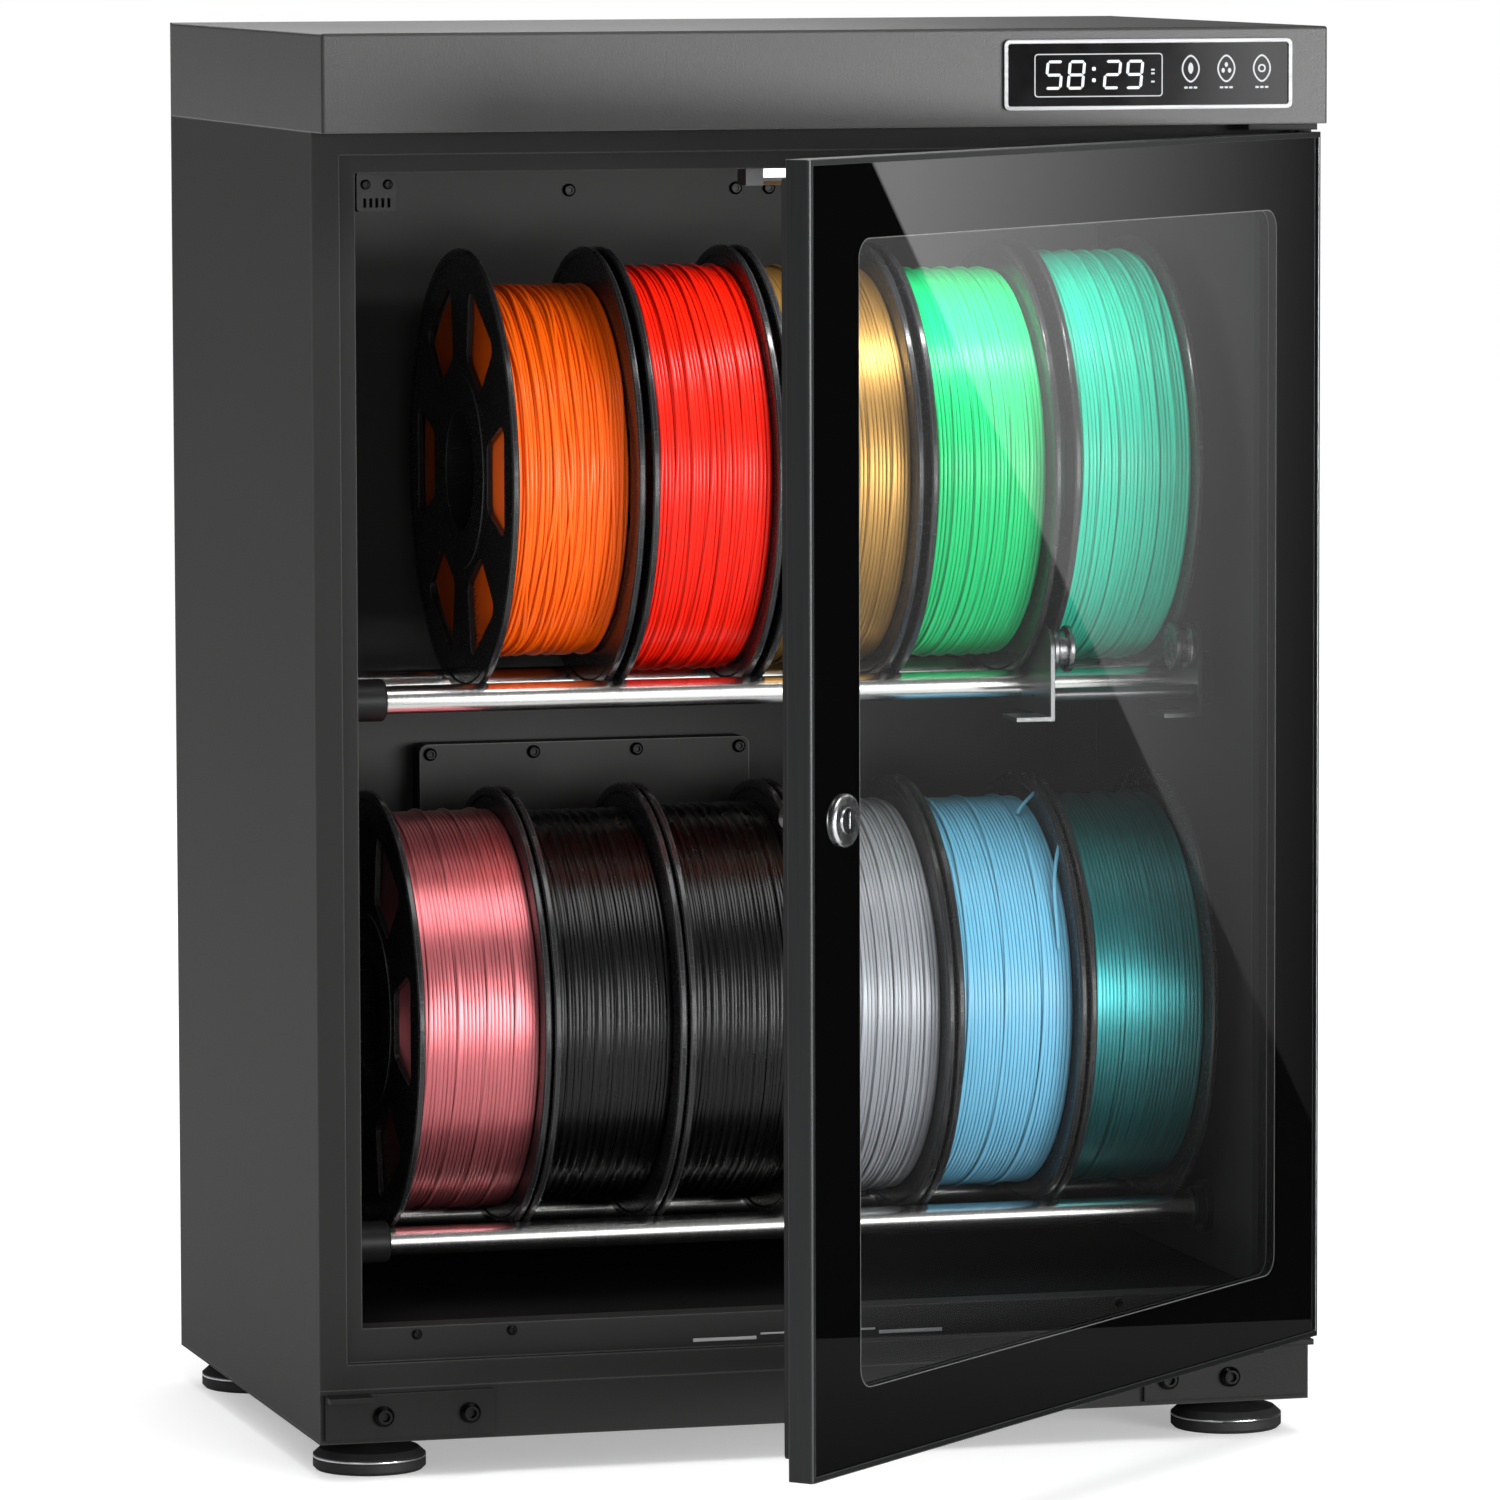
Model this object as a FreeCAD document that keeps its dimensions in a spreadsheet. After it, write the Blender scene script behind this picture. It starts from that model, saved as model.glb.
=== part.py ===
import FreeCAD, Part
import math
import operator
import os
import Sketcher

# A tall dry cabinet for spools of printing filament: double-walled steel body on four levelling
# feet, control head, framed glass door with a cam lock, and two rows of spools on chromed rods.
# Frame: X to the right, +Y to the back, +Z up. The origin is on the floor, at the middle of the
# footprint of the cabinet with its door open at door_angle. Depths are given from the plane of the
# front frame, which lies front_plane behind the origin. Lengths are in millimetres.

DIMENSIONS = (
    ("body_width", 456, "width over the side panels"),
    ("body_depth", 294, "front frame plane to the rear of the back panel"),
    ("front_plane", 13, "origin to the front frame plane"),
    ("foot_height", 16, "floor to the underside of the body"),
    ("head_bottom", 590, "floor to the underside of the control head"),
    ("cabinet_top", 633, "floor to the top of the control head"),
    ("head_overhang", 22, "head in front of the front frame plane"),
    ("head_wall", 1.5, "sheet of the control head"),
    ("sheet", 1.2, "sheet of the body panels"),
    ("plinth_height", 24, "front plinth"),
    ("side_flange", 12.5, "outer front flange at the sides"),
    ("top_flange", 10, "outer front flange at the top"),
    ("rail_height", 11, "outer front flange at the bottom"),
    ("side_step", 8, "inner front flange at the sides"),
    ("top_step", 8, "inner front flange at the top"),
    ("sill_step", 15, "inner front flange at the bottom"),
    ("step_depth", 5, "inner flange behind the outer flange"),
    ("return_depth", 15, "inward return of the front frame"),
    ("liner_front", 252, "front frame plane to the rear liner"),
    ("foot_inset_side", 29, "foot axis from the body's side"),
    ("foot_inset_end", 30, "foot axis from the body's front and back"),
    ("foot_radius", 25, "foot disc"),
    ("stud_radius", 4, "foot stud"),
    ("stud_clearance", 0.06, "radial play of a foot stud in the base"),
    ("door_angle", 44, "opening angle of the door as photographed, degrees"),
    ("door_width", 451, "door over the metal frame"),
    ("door_bottom", 46, "floor to the door's lower edge"),
    ("door_top", 586, "floor to the door's upper edge"),
    ("door_front", 8.2, "hinge axis to the door's front face"),
    ("door_back", 3.8, "hinge axis to the door's back face"),
    ("hinge_inset", 5.5, "hinge axis from the door's hinge edge"),
    ("hinge_x", 220, "hinge axis from mid-width"),
    ("hinge_y", 7.5, "hinge axis in front of the front frame plane"),
    ("pin_radius", 2, "hinge pin"),
    ("pin_clearance", 0.05, "radial play of a hinge pin"),
    ("pin_reach", 12, "hinge pin inside the door"),
    ("rim", 2.5, "visible metal rim of the door"),
    ("rim_flange", 19, "back flange of the door frame from the door's edge"),
    ("rim_flange_thick", 2.6, "back flange of the door frame"),
    ("glass_recess", 1.1, "glass behind the front of the rim"),
    ("glass_thick", 4, "door pane"),
    ("border_side", 41, "dark border of the window at the sides"),
    ("border_end", 33, "dark border of the window at the top and bottom"),
    ("window_radius", 9, "corner of the window"),
    ("seal_width", 6.6, "door gasket"),
    ("seal_depth", 8.4, "door gasket"),
    ("seal_gap", 0.7, "gasket from the step of the front frame"),
    ("lock_inset", 28, "lock axis from the door's free edge"),
    ("lock_barrel_radius", 8, "lock barrel"),
    ("lock_ring_radius", 11, "lock ring on the glass"),
    ("lock_plug_radius", 5.5, "turning plug of the lock"),
    ("lock_clearance", 0.05, "radial play of the plug"),
    ("cam_reach", 20, "lock axis to the tip of the cam"),
    ("cam_width", 12, "lock cam"),
    ("cam_start", 16, "hinge axis plane to the cam"),
    ("cam_thick", 2, "lock cam"),
    ("spool_radius", 100, "spool flange"),
    ("spool_width", 60.5, "spool over its flanges"),
    ("spool_bore", 27, "radius of the spool's bore"),
    ("spool_hub", 40, "radius of the spool's drum"),
    ("hub_ring", 44, "radius of the raised ring about the bore"),
    ("flange_web", 2.4, "spool flange between the ring and the rim"),
    ("flange_rim", 3.2, "spool flange at its rim"),
    ("rim_height", 4, "radial height of the flange's rim bead"),
    ("rim_bevel", 0.7, "bevel of the flange's rim"),
    ("spool_depth", 125, "front frame plane to the spools' axes"),
    ("upper_axis", 434, "floor to the upper spools' axes"),
    ("lower_axis", 191, "floor to the lower spools' axes"),
    ("upper_start", -132.5, "left face of the first upper spool"),
    ("upper_pitch", 64, "step of the upper spools"),
    ("lower_start", -176.4, "left face of the first lower spool"),
    ("lower_pitch", 62, "step of the lower spools"),
    ("roller_lift", 2, "spool on the rollers above its row"),
    ("roller_shift", 2.5, "spool on the rollers to the right of its place in the row"),
    ("rod_radius", 6.25, "spool rod"),
    ("rod_spread", 40, "rod axis from the spools' axis plane, front and back"),
    ("rod_gap", 0.3, "play between a spool and what carries it"),
    ("socket_left", 30, "depth of a left rod socket"),
    ("socket_right", 8, "depth of a right rod socket"),
    ("socket_radius", 9.5, "rod socket"),
    ("groove_radius", 8, "bottom of the roller's groove"),
    ("roller_radius", 10.5, "flange of a roller"),
    ("groove_width", 4.4, "groove of a roller"),
    ("roller_flange", 2.4, "thickness of a roller's flanges"),
    ("roller_spread", 69.5, "roller axle from the spool's axis plane"),
    ("axle_radius", 2.5, "roller axle"),
    ("axle_clearance", 0.05, "radial play of a roller"),
    ("ear_thick", 2, "ear plate of the roller bracket"),
    ("ear_gap", 0.5, "ear plate to a roller"),
    ("ear_lobe", 11, "rounded end of an ear plate"),
    ("fan_x", -46, "fan axis from mid-width"),
    ("fan_z", 240, "floor to the fan axis"),
    ("fan_size", 80, "side of the fan frame"),
    ("fan_thick", 25, "fan frame"),
    ("fan_duct", 37.5, "radius of the fan's duct"),
    ("rotor_radius", 34, "tip section of the fan blades"),
    ("rotor_hub", 15, "fan hub"),
    ("bezel_left", 78, "control bezel, left edge from mid-width"),
    ("bezel_width", 133, "control bezel"),
    ("bezel_bottom", 597, "floor to the control bezel"),
    ("bezel_height", 31, "control bezel"),
    ("bezel_lip", 3, "visible width of the bezel"),
)


class Size:
    """A length that carries its number and the sheet formula that gives it."""

    def __init__(self, number, formula):
        self.number = number
        self.formula = formula

    def __add__(self, other):
        return combine(self, "+", other)

    def __radd__(self, other):
        return combine(other, "+", self)

    def __sub__(self, other):
        return combine(self, "-", other)

    def __rsub__(self, other):
        return combine(other, "-", self)

    def __mul__(self, other):
        return combine(self, "*", other)

    def __rmul__(self, other):
        return combine(other, "*", self)

    def __truediv__(self, other):
        return combine(self, "/", other)

    def __neg__(self):
        return combine(0, "-", self)


OPERATIONS = {"+": operator.add, "-": operator.sub, "*": operator.mul, "/": operator.truediv}


def as_size(value):
    """Any plain number as a Size."""
    return value if isinstance(value, Size) else Size(float(value), repr(float(value)))


def combine(left, sign, right):
    """The Size of two lengths joined by an arithmetic sign."""
    first = as_size(left)
    second = as_size(right)
    number = OPERATIONS[sign](first.number, second.number)
    return Size(number, f"({first.formula} {sign} {second.formula})")


def root(size):
    """The square root of a Size."""
    return Size(math.sqrt(size.number), f"sqrt({size.formula})")


class Sheet:
    """The sheet's cells, read by their aliases as Sizes."""

    def __init__(self, rows):
        self.numbers = {alias: number for alias, number, meaning in rows}

    def __getattr__(self, alias):
        return Size(float(self.numbers[alias]), "dims." + alias)


doc = FreeCAD.newDocument("filament_dry_cabinet")
cells = doc.addObject("Spreadsheet::Sheet", "dims")
for row, (alias, number, meaning) in enumerate(DIMENSIONS, 1):
    cells.set(f"A{row}", meaning)
    cells.set(f"B{row}", str(number))
    cells.setAlias(f"B{row}", alias)
doc.recompute()
d = Sheet(DIMENSIONS)

# Positive axis that each origin plane's normal points along (1) or against (-1).
NORMALS = {"XY_Plane": 1, "XZ_Plane": -1, "YZ_Plane": 1}

nodes = []


def bind(thing, path, size):
    """Tie one property of an object to the sheet."""
    thing.setExpression(path, as_size(size).formula)


def place(thing, x=0, y=0, z=0):
    """Set a sub-part's own origin in the frame, its depth taken from the front frame plane."""
    for axis, size in (("x", x), ("y", y + d.front_plane), ("z", z)):
        bind(thing, "Placement.Base." + axis, size)
    return thing


def new_body(label):
    """An empty sub-part."""
    body = doc.addObject("PartDesign::Body", label)
    body.Label = label
    return place(body)


def keep(thing):
    """Count a finished object as a node of its own."""
    nodes.append(thing)
    return thing


def group(label, members):
    """Several like pieces as one node."""
    compound = doc.addObject("Part::Compound", label)
    compound.Label = label
    compound.Links = members
    return compound


def new_sketch(body, plane, offset):
    """A sketch on one of the body's own planes, moved along the positive axis."""
    sketch = body.newObject("Sketcher::SketchObject", body.Name + "_sketch")
    support = next(item for item in body.Origin.OriginFeatures if item.Role == plane)
    sketch.AttachmentSupport = [(support, "")]
    sketch.MapMode = "FlatFace"
    bind(sketch, "AttachmentOffset.Base.z", as_size(offset) * NORMALS[plane])
    return sketch


def pin_point(sketch, edge, vertex, x, y):
    """Hold one point of a sketch at bound coordinates."""
    for kind, axis, size in (("DistanceX", -2, as_size(x)), ("DistanceY", -1, as_size(y))):
        if abs(size.number) < 1e-9:
            sketch.addConstraint(Sketcher.Constraint("PointOnObject", edge, vertex, axis))
        else:
            index = sketch.addConstraint(Sketcher.Constraint(kind, edge, vertex, size.number))
            bind(sketch, f"Constraints[{index}]", size)


def vector(x, y):
    """A point of a sketch as numbers."""
    return FreeCAD.Vector(as_size(x).number, as_size(y).number, 0)


def polygon(*points):
    """A closed outline of straight edges."""

    def draw(sketch):
        first = sketch.GeometryCount
        corners = [vector(x, y) for x, y in points]
        count = len(corners)
        for i, corner in enumerate(corners):
            sketch.addGeometry(Part.LineSegment(corner, corners[(i + 1) % count]), False)
        for i in range(count):
            joint = Sketcher.Constraint("Coincident", first + i, 2, first + (i + 1) % count, 1)
            sketch.addConstraint(joint)
        for i, (x, y) in enumerate(points):
            pin_point(sketch, first + i, 1, x, y)

    return draw


def rectangle(x_low, y_low, x_high, y_high):
    """A closed rectangle between two corners."""
    return polygon((x_low, y_low), (x_high, y_low), (x_high, y_high), (x_low, y_high))


def circle(x, y, radius):
    """A full circle."""

    def draw(sketch):
        edge = sketch.addGeometry(
            Part.Circle(vector(x, y), FreeCAD.Vector(0, 0, 1), as_size(radius).number), False)
        pin_point(sketch, edge, 3, x, y)
        index = sketch.addConstraint(Sketcher.Constraint("Radius", edge, as_size(radius).number))
        bind(sketch, f"Constraints[{index}]", radius)

    return draw


def rounded(radius, *centres):
    """A convex outline of equal arcs about the given centres, anticlockwise, and their tangents."""

    def draw(sketch):
        first = sketch.GeometryCount
        points = [vector(x, y) for x, y in centres]
        count = len(points)
        size = as_size(radius)
        turns = []
        for i, point in enumerate(points):
            way = points[(i + 1) % count] - point
            turns.append(math.atan2(way.y, way.x) - math.pi / 2)
        for i, point in enumerate(points):
            ring = Part.Circle(point, FreeCAD.Vector(0, 0, 1), size.number)
            start = turns[i - 1]
            sweep = (turns[i] - start) % (2 * math.pi)
            sketch.addGeometry(Part.ArcOfCircle(ring, start, start + sweep), False)
        for i, point in enumerate(points):
            side = FreeCAD.Vector(math.cos(turns[i]), math.sin(turns[i]), 0) * size.number
            sketch.addGeometry(Part.LineSegment(point + side, points[(i + 1) % count] + side), False)
        for i in range(count):
            line = first + count + i
            sketch.addConstraint(Sketcher.Constraint("Tangent", first + i, 2, line, 1))
            sketch.addConstraint(Sketcher.Constraint("Tangent", line, 2, first + (i + 1) % count, 1))
        for i, (x, y) in enumerate(centres):
            pin_point(sketch, first + i, 3, x, y)
            index = sketch.addConstraint(Sketcher.Constraint("Radius", first + i, size.number))
            bind(sketch, f"Constraints[{index}]", size)

    return draw


def soft_rectangle(radius, x_low, y_low, x_high, y_high):
    """A rectangle with rounded corners."""
    left = as_size(x_low) + radius
    right = as_size(x_high) - radius
    low = as_size(y_low) + radius
    high = as_size(y_high) - radius
    return rounded(radius, (left, low), (right, low), (right, high), (left, high))


def extrude(body, plane, start, length, *outlines, cut=False):
    """Add or cut a prism from start along the positive axis normal to the plane."""
    sketch = new_sketch(body, plane, start)
    for draw in outlines:
        draw(sketch)
    before = body.Tip.Shape.Volume if cut else 0
    feature = body.newObject("PartDesign::Pocket" if cut else "PartDesign::Pad", body.Name + "_prism")
    feature.Profile = sketch
    feature.Reversed = (NORMALS[plane] > 0) if cut else (NORMALS[plane] < 0)
    bind(feature, "Length", length)
    doc.recompute()
    if cut and body.Tip.Shape.Volume > before - 1e-6:
        raise RuntimeError(f"{body.Label}: a pocket removed nothing")
    return feature


def revolve(body, plane, axis, *outlines):
    """A full turn of an outline about a sketch axis."""
    sketch = new_sketch(body, plane, 0)
    for draw in outlines:
        draw(sketch)
    feature = body.newObject("PartDesign::Revolution", body.Name + "_turn")
    feature.Profile = sketch
    feature.ReferenceAxis = (sketch, [axis])
    feature.Angle = 360
    doc.recompute()
    return feature


def polar(body, feature, count):
    """Repeat a feature about the normal of its sketch."""
    pattern = body.newObject("PartDesign::PolarPattern", body.Name + "_polar")
    pattern.Originals = [feature]
    pattern.Axis = (feature.Profile[0], ["N_Axis"])
    pattern.Angle = 360
    pattern.Occurrences = count
    body.Tip = pattern
    doc.recompute()
    return pattern


def linear(body, feature, axis, length, count):
    """Repeat a feature along an axis of its sketch."""
    pattern = body.newObject("PartDesign::LinearPattern", body.Name + "_row")
    pattern.Originals = [feature]
    pattern.Direction = (feature.Profile[0], [axis])
    bind(pattern, "Length", length)
    pattern.Occurrences = count
    body.Tip = pattern
    doc.recompute()
    return pattern


def fillet(body, radius, chosen):
    """Round the edges of the body's last feature that a test picks."""
    base = body.Tip
    names = [f"Edge{i}" for i, edge in enumerate(base.Shape.Edges, 1) if chosen(edge)]
    rounding = body.newObject("PartDesign::Fillet", body.Name + "_fillet")
    rounding.Base = (base, names)
    rounding.Radius = radius
    doc.recompute()
    return rounding


def runs_along(edge, axis):
    """True for a straight edge parallel to an axis, 0 for X to 2 for Z."""
    if not isinstance(edge.Curve, Part.Line):
        return False
    way = edge.Curve.Direction
    return abs(abs((way.x, way.y, way.z)[axis]) - 1) < 1e-6


# Derived sizes that several sub-parts share.
half_width = d.body_width / 2
inner_depth = d.body_depth - d.sheet
plinth_top = d.foot_height + d.plinth_height
base_top = d.foot_height + d.sheet
step_x = half_width - d.side_flange
step_low = plinth_top + d.rail_height
step_high = d.head_bottom - d.top_flange
open_x = step_x - d.side_step
open_low = step_low + d.sill_step
open_high = step_high - d.top_step
frame_back = d.step_depth + d.return_depth
lock_z = (d.door_bottom + d.door_top) / 2
door_left = d.hinge_inset - d.door_width
glass_front = d.glass_recess - d.door_front
glass_back = glass_front + d.glass_thick
lock_x = door_left + d.lock_inset
rod_drop_square = (d.spool_radius + d.rod_radius + d.rod_gap) * (d.spool_radius + d.rod_radius + d.rod_gap)
rod_drop = root(rod_drop_square - d.rod_spread * d.rod_spread)
roller_x = d.upper_start + 4 * d.upper_pitch + d.roller_shift
roller_axis = d.upper_axis + d.roller_lift
roller_reach = d.spool_radius + d.groove_radius + d.rod_gap
roller_drop = root(roller_reach * roller_reach - d.roller_spread * d.roller_spread)
roller_z = roller_axis - roller_drop
roller_width = d.groove_width + 2 * d.roller_flange
roller_side = (roller_width - d.flange_rim) / 2
upper_rod_z = d.upper_axis - rod_drop


def frame_ring(body, outer, inner, start, length):
    """A band of the front frame or the door between two rectangles seen from the front."""
    return extrude(body, "XZ_Plane", start, length, rectangle(*outer), rectangle(*inner))


def grown(window, margin):
    """A front rectangle made larger on all sides."""
    x_low, z_low, x_high, z_high = window
    return x_low - margin, z_low - margin, x_high + margin, z_high + margin


def side_panel(label, side):
    """A folded hollow side wall; its outer skin runs on to the front frame."""
    body = new_body(label)
    skin = half_width - d.sheet
    hollow = open_x + d.sheet
    extrude(
        body, "XY_Plane", base_top, d.head_bottom - base_top,
        polygon((side * half_width, d.sheet), (side * half_width, inner_depth),
                (side * open_x, inner_depth), (side * open_x, frame_back),
                (side * skin, frame_back), (side * skin, d.sheet)),
        rectangle(side * hollow, frame_back + d.sheet, side * skin, inner_depth - d.sheet))
    return body


def front_frame():
    """The stepped frame about the opening, with a slot for the lock's cam."""
    body = new_body("front_frame")
    outline = (-half_width, plinth_top, half_width, d.head_bottom)
    step = (-step_x, step_low, step_x, step_high)
    opening = (-open_x, open_low, open_x, open_high)
    frame_ring(body, outline, step, 0, d.sheet)
    frame_ring(body, grown(step, d.sheet), step, 0, d.step_depth + d.sheet)
    frame_ring(body, grown(step, d.sheet), opening, d.step_depth, d.sheet)
    frame_ring(body, grown(opening, d.sheet), opening, d.step_depth, d.return_depth)
    play = 0.9
    cam_low = d.cam_start - d.hinge_y - play
    cam_high = d.cam_start - d.hinge_y + d.cam_thick + play
    below = d.cam_width / 2 + 2
    extrude(body, "YZ_Plane", -open_x - 2 * d.sheet, 3 * d.sheet,
            rectangle(cam_low, lock_z - below, cam_high, lock_z + d.cam_reach), cut=True)
    return body


def foot_places():
    """Foot axes as label, x and y."""
    x = half_width - d.foot_inset_side
    front = d.foot_inset_end
    rear = d.body_depth - d.foot_inset_end
    return (("foot_front_left", -x, front), ("foot_front_right", x, front),
            ("foot_rear_left", -x, rear), ("foot_rear_right", x, rear))


def base_plinth():
    """The base sheet with the front plinth folded up from it."""
    body = new_body("base_plinth")
    extrude(body, "YZ_Plane", -half_width, d.body_width,
            polygon((0, d.foot_height), (inner_depth, d.foot_height), (inner_depth, base_top),
                    (d.sheet, base_top), (d.sheet, plinth_top), (0, plinth_top)))
    extrude(body, "YZ_Plane", d.sheet - half_width, d.body_width - 2 * d.sheet,
            rectangle(0, plinth_top - d.sheet, frame_back, plinth_top))
    bore = d.stud_radius + d.stud_clearance
    holes = [circle(x, y, bore) for label, x, y in foot_places()]
    extrude(body, "XY_Plane", d.foot_height, d.sheet, *holes, cut=True)
    return body


def pan(label, face, lip, side):
    """The floor or ceiling tray: a flat sheet with a lip at the front and at the back."""
    body = new_body(label)
    edge = face + side * lip
    back = face + side * d.sheet
    extrude(body, "YZ_Plane", -open_x, 2 * open_x,
            polygon((frame_back, edge), (frame_back, face), (d.liner_front, face),
                    (d.liner_front, edge), (d.liner_front - d.sheet, edge),
                    (d.liner_front - d.sheet, back), (frame_back + d.sheet, back),
                    (frame_back + d.sheet, edge)))
    return body


FLOOR_LIP = 20
HEATER_Z = 150
HEATER_HALF_WIDTH = 36
HEATER_HALF_HEIGHT = 18


def rear_liner():
    """The inner back wall with side lips and air holes for the fan and the heater."""
    body = new_body("rear_liner")
    lip = d.liner_front + 18
    back = d.liner_front + d.sheet
    inner = open_x - d.sheet
    bottom = open_low - FLOOR_LIP
    extrude(body, "XY_Plane", bottom, d.head_bottom - bottom,
            polygon((-open_x, d.liner_front), (open_x, d.liner_front), (open_x, lip), (inner, lip),
                    (inner, back), (-inner, back), (-inner, lip), (-open_x, lip)))
    extrude(body, "XZ_Plane", d.liner_front, d.sheet,
            circle(d.fan_x, d.fan_z, d.fan_duct),
            rectangle(d.fan_x - HEATER_HALF_WIDTH, HEATER_Z - HEATER_HALF_HEIGHT,
                      d.fan_x + HEATER_HALF_WIDTH, HEATER_Z + HEATER_HALF_HEIGHT), cut=True)
    return body


INLET_X = 150
INLET_Z = 65
INLET_HALF_WIDTH = 13.5
INLET_HALF_HEIGHT = 10


def back_panel():
    """The rear sheet with its inlet cut-out and a row of vents behind the control head."""
    body = new_body("back_panel")
    extrude(body, "XZ_Plane", inner_depth, d.sheet,
            rectangle(-half_width, d.foot_height, half_width, d.cabinet_top))
    extrude(body, "XZ_Plane", inner_depth, d.sheet,
            rectangle(INLET_X - INLET_HALF_WIDTH, INLET_Z - INLET_HALF_HEIGHT,
                      INLET_X + INLET_HALF_WIDTH, INLET_Z + INLET_HALF_HEIGHT), cut=True)
    vent_x = 55
    vent_half = 2
    vent_low = d.head_bottom + 10
    vent = extrude(body, "XZ_Plane", inner_depth, d.sheet,
                   soft_rectangle(1.5, -vent_x - vent_half, vent_low, vent_half - vent_x, vent_low + 22),
                   cut=True)
    linear(body, vent, "H_Axis", 2 * vent_x, 12)
    return body


def power_inlet():
    """The appliance inlet in the back panel: flange, cup and three blades."""
    body = new_body("power_inlet")
    flange = 3
    cup_depth = 20
    socket_depth = 15
    extrude(body, "XZ_Plane", d.body_depth, flange,
            soft_rectangle(3, INLET_X - 18, INLET_Z - 13, INLET_X + 18, INLET_Z + 13))
    extrude(body, "XZ_Plane", d.body_depth - cup_depth, cup_depth,
            rectangle(INLET_X - INLET_HALF_WIDTH, INLET_Z - INLET_HALF_HEIGHT,
                      INLET_X + INLET_HALF_WIDTH, INLET_Z + INLET_HALF_HEIGHT))
    mouth = d.body_depth + flange - socket_depth
    half = 11.5
    extrude(body, "XZ_Plane", mouth, socket_depth,
            polygon((INLET_X - half, INLET_Z - 8), (INLET_X + half, INLET_Z - 8),
                    (INLET_X + half, INLET_Z + 4), (INLET_X + half - 4, INLET_Z + 8),
                    (INLET_X - half + 4, INLET_Z + 8), (INLET_X - half, INLET_Z + 4)), cut=True)
    blades = ((-7, -2), (0, 2), (7, -2))
    extrude(body, "XZ_Plane", mouth, 11,
            *[rectangle(INLET_X + x - 1, INLET_Z + z - 2, INLET_X + x + 1, INLET_Z + z + 2)
              for x, z in blades])
    return body


def head_cover():
    """The control head: a folded hood, open at the rear, with the panel cut-out at the right."""
    body = new_body("head_cover")
    front = -d.head_overhang
    extrude(body, "XY_Plane", d.head_bottom, d.cabinet_top - d.head_bottom,
            rectangle(-half_width, front, half_width, inner_depth))

    def outer_edge(edge):
        middle = edge.BoundBox.Center
        at_top = middle.z > d.cabinet_top.number - 0.1 and middle.y < inner_depth.number - 0.1
        at_corner = runs_along(edge, 2) and middle.y < front.number + 0.1
        return at_top or at_corner

    fillet(body, 1.2, outer_edge)
    inside = half_width - d.head_wall
    start = front + d.head_wall
    extrude(body, "XZ_Plane", start, inner_depth - start,
            rectangle(-inside, d.head_bottom + d.head_wall, inside, d.cabinet_top - d.head_wall), cut=True)
    extrude(body, "XZ_Plane", front, d.head_wall, soft_rectangle(4, *bezel_window(-SLEEVE)), cut=True)
    return body


SLEEVE = 0.75
BEZEL_PROUD = 2
SLEEVE_LENGTH = 4
PANEL_RECESS = 1.2
PANEL_THICK = 2
BOARD_GAP = 2.2


def bezel_window(inset):
    """The bezel's inner window, made smaller by an inset, as a front rectangle."""
    margin = d.bezel_lip + inset
    return (d.bezel_left + margin, d.bezel_bottom + margin, d.bezel_left + d.bezel_width - margin,
            d.bezel_bottom + d.bezel_height - margin)


def control_bezel():
    """The bright rounded surround of the control panel and its sleeve through the hood."""
    body = new_body("control_bezel")
    front = -d.head_overhang - BEZEL_PROUD
    extrude(body, "XZ_Plane", front, BEZEL_PROUD,
            soft_rectangle(6, *bezel_window(-d.bezel_lip)), soft_rectangle(4, *bezel_window(0)))
    extrude(body, "XZ_Plane", front, BEZEL_PROUD + SLEEVE_LENGTH,
            soft_rectangle(4, *bezel_window(-SLEEVE)), soft_rectangle(4, *bezel_window(0)))
    return body


def control_glass():
    """The dark touch pane inside the bezel."""
    body = new_body("control_glass")
    extrude(body, "XZ_Plane", -d.head_overhang - PANEL_RECESS, PANEL_THICK,
            soft_rectangle(4, *bezel_window(0)))
    return body


TOUCH_KEYS = (164, 180.5, 197)
DISPLAY = (92, 602.7, 151, 621.7)


def display_board():
    """The circuit board behind the pane: display module, three touch springs and two parts."""
    body = new_body("display_board")
    face = PANEL_THICK - PANEL_RECESS - d.head_overhang
    board = face + BOARD_GAP
    board_thick = 1.6
    key_z = d.bezel_bottom + d.bezel_height / 2
    extrude(body, "XZ_Plane", board, board_thick, rectangle(*bezel_window(2)))
    extrude(body, "XZ_Plane", face, BOARD_GAP, rectangle(*DISPLAY),
            *[circle(x, key_z, 5) for x in TOUCH_KEYS])
    extrude(body, "XZ_Plane", board + board_thick, 3,
            rectangle(100, key_z - 6, 114, key_z + 6), rectangle(150, key_z - 4, 176, key_z + 4))
    return body


COVER = (-125, 100, 33, 300)
COVER_DEPTH = 14


def heater_cover():
    """The shallow tray over the heater and fan, with two banks of outlet slots."""
    body = new_body("heater_cover")
    front = d.liner_front - COVER_DEPTH
    x_low, z_low, x_high, z_high = COVER
    extrude(body, "XZ_Plane", front, COVER_DEPTH, soft_rectangle(4, *COVER))
    extrude(body, "XZ_Plane", front + d.sheet, COVER_DEPTH - d.sheet,
            soft_rectangle(4 - d.sheet, x_low + d.sheet, z_low + d.sheet, x_high - d.sheet,
                           z_high - d.sheet), cut=True)
    slot_half = 2
    for bank in (HEATER_Z - 26, 206):
        slot = extrude(body, "XZ_Plane", front, d.sheet,
                       soft_rectangle(1.5, -108 - slot_half, bank, slot_half - 108, bank + 52), cut=True)
        linear(body, slot, "H_Axis", 124, 13)
    return body


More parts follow.
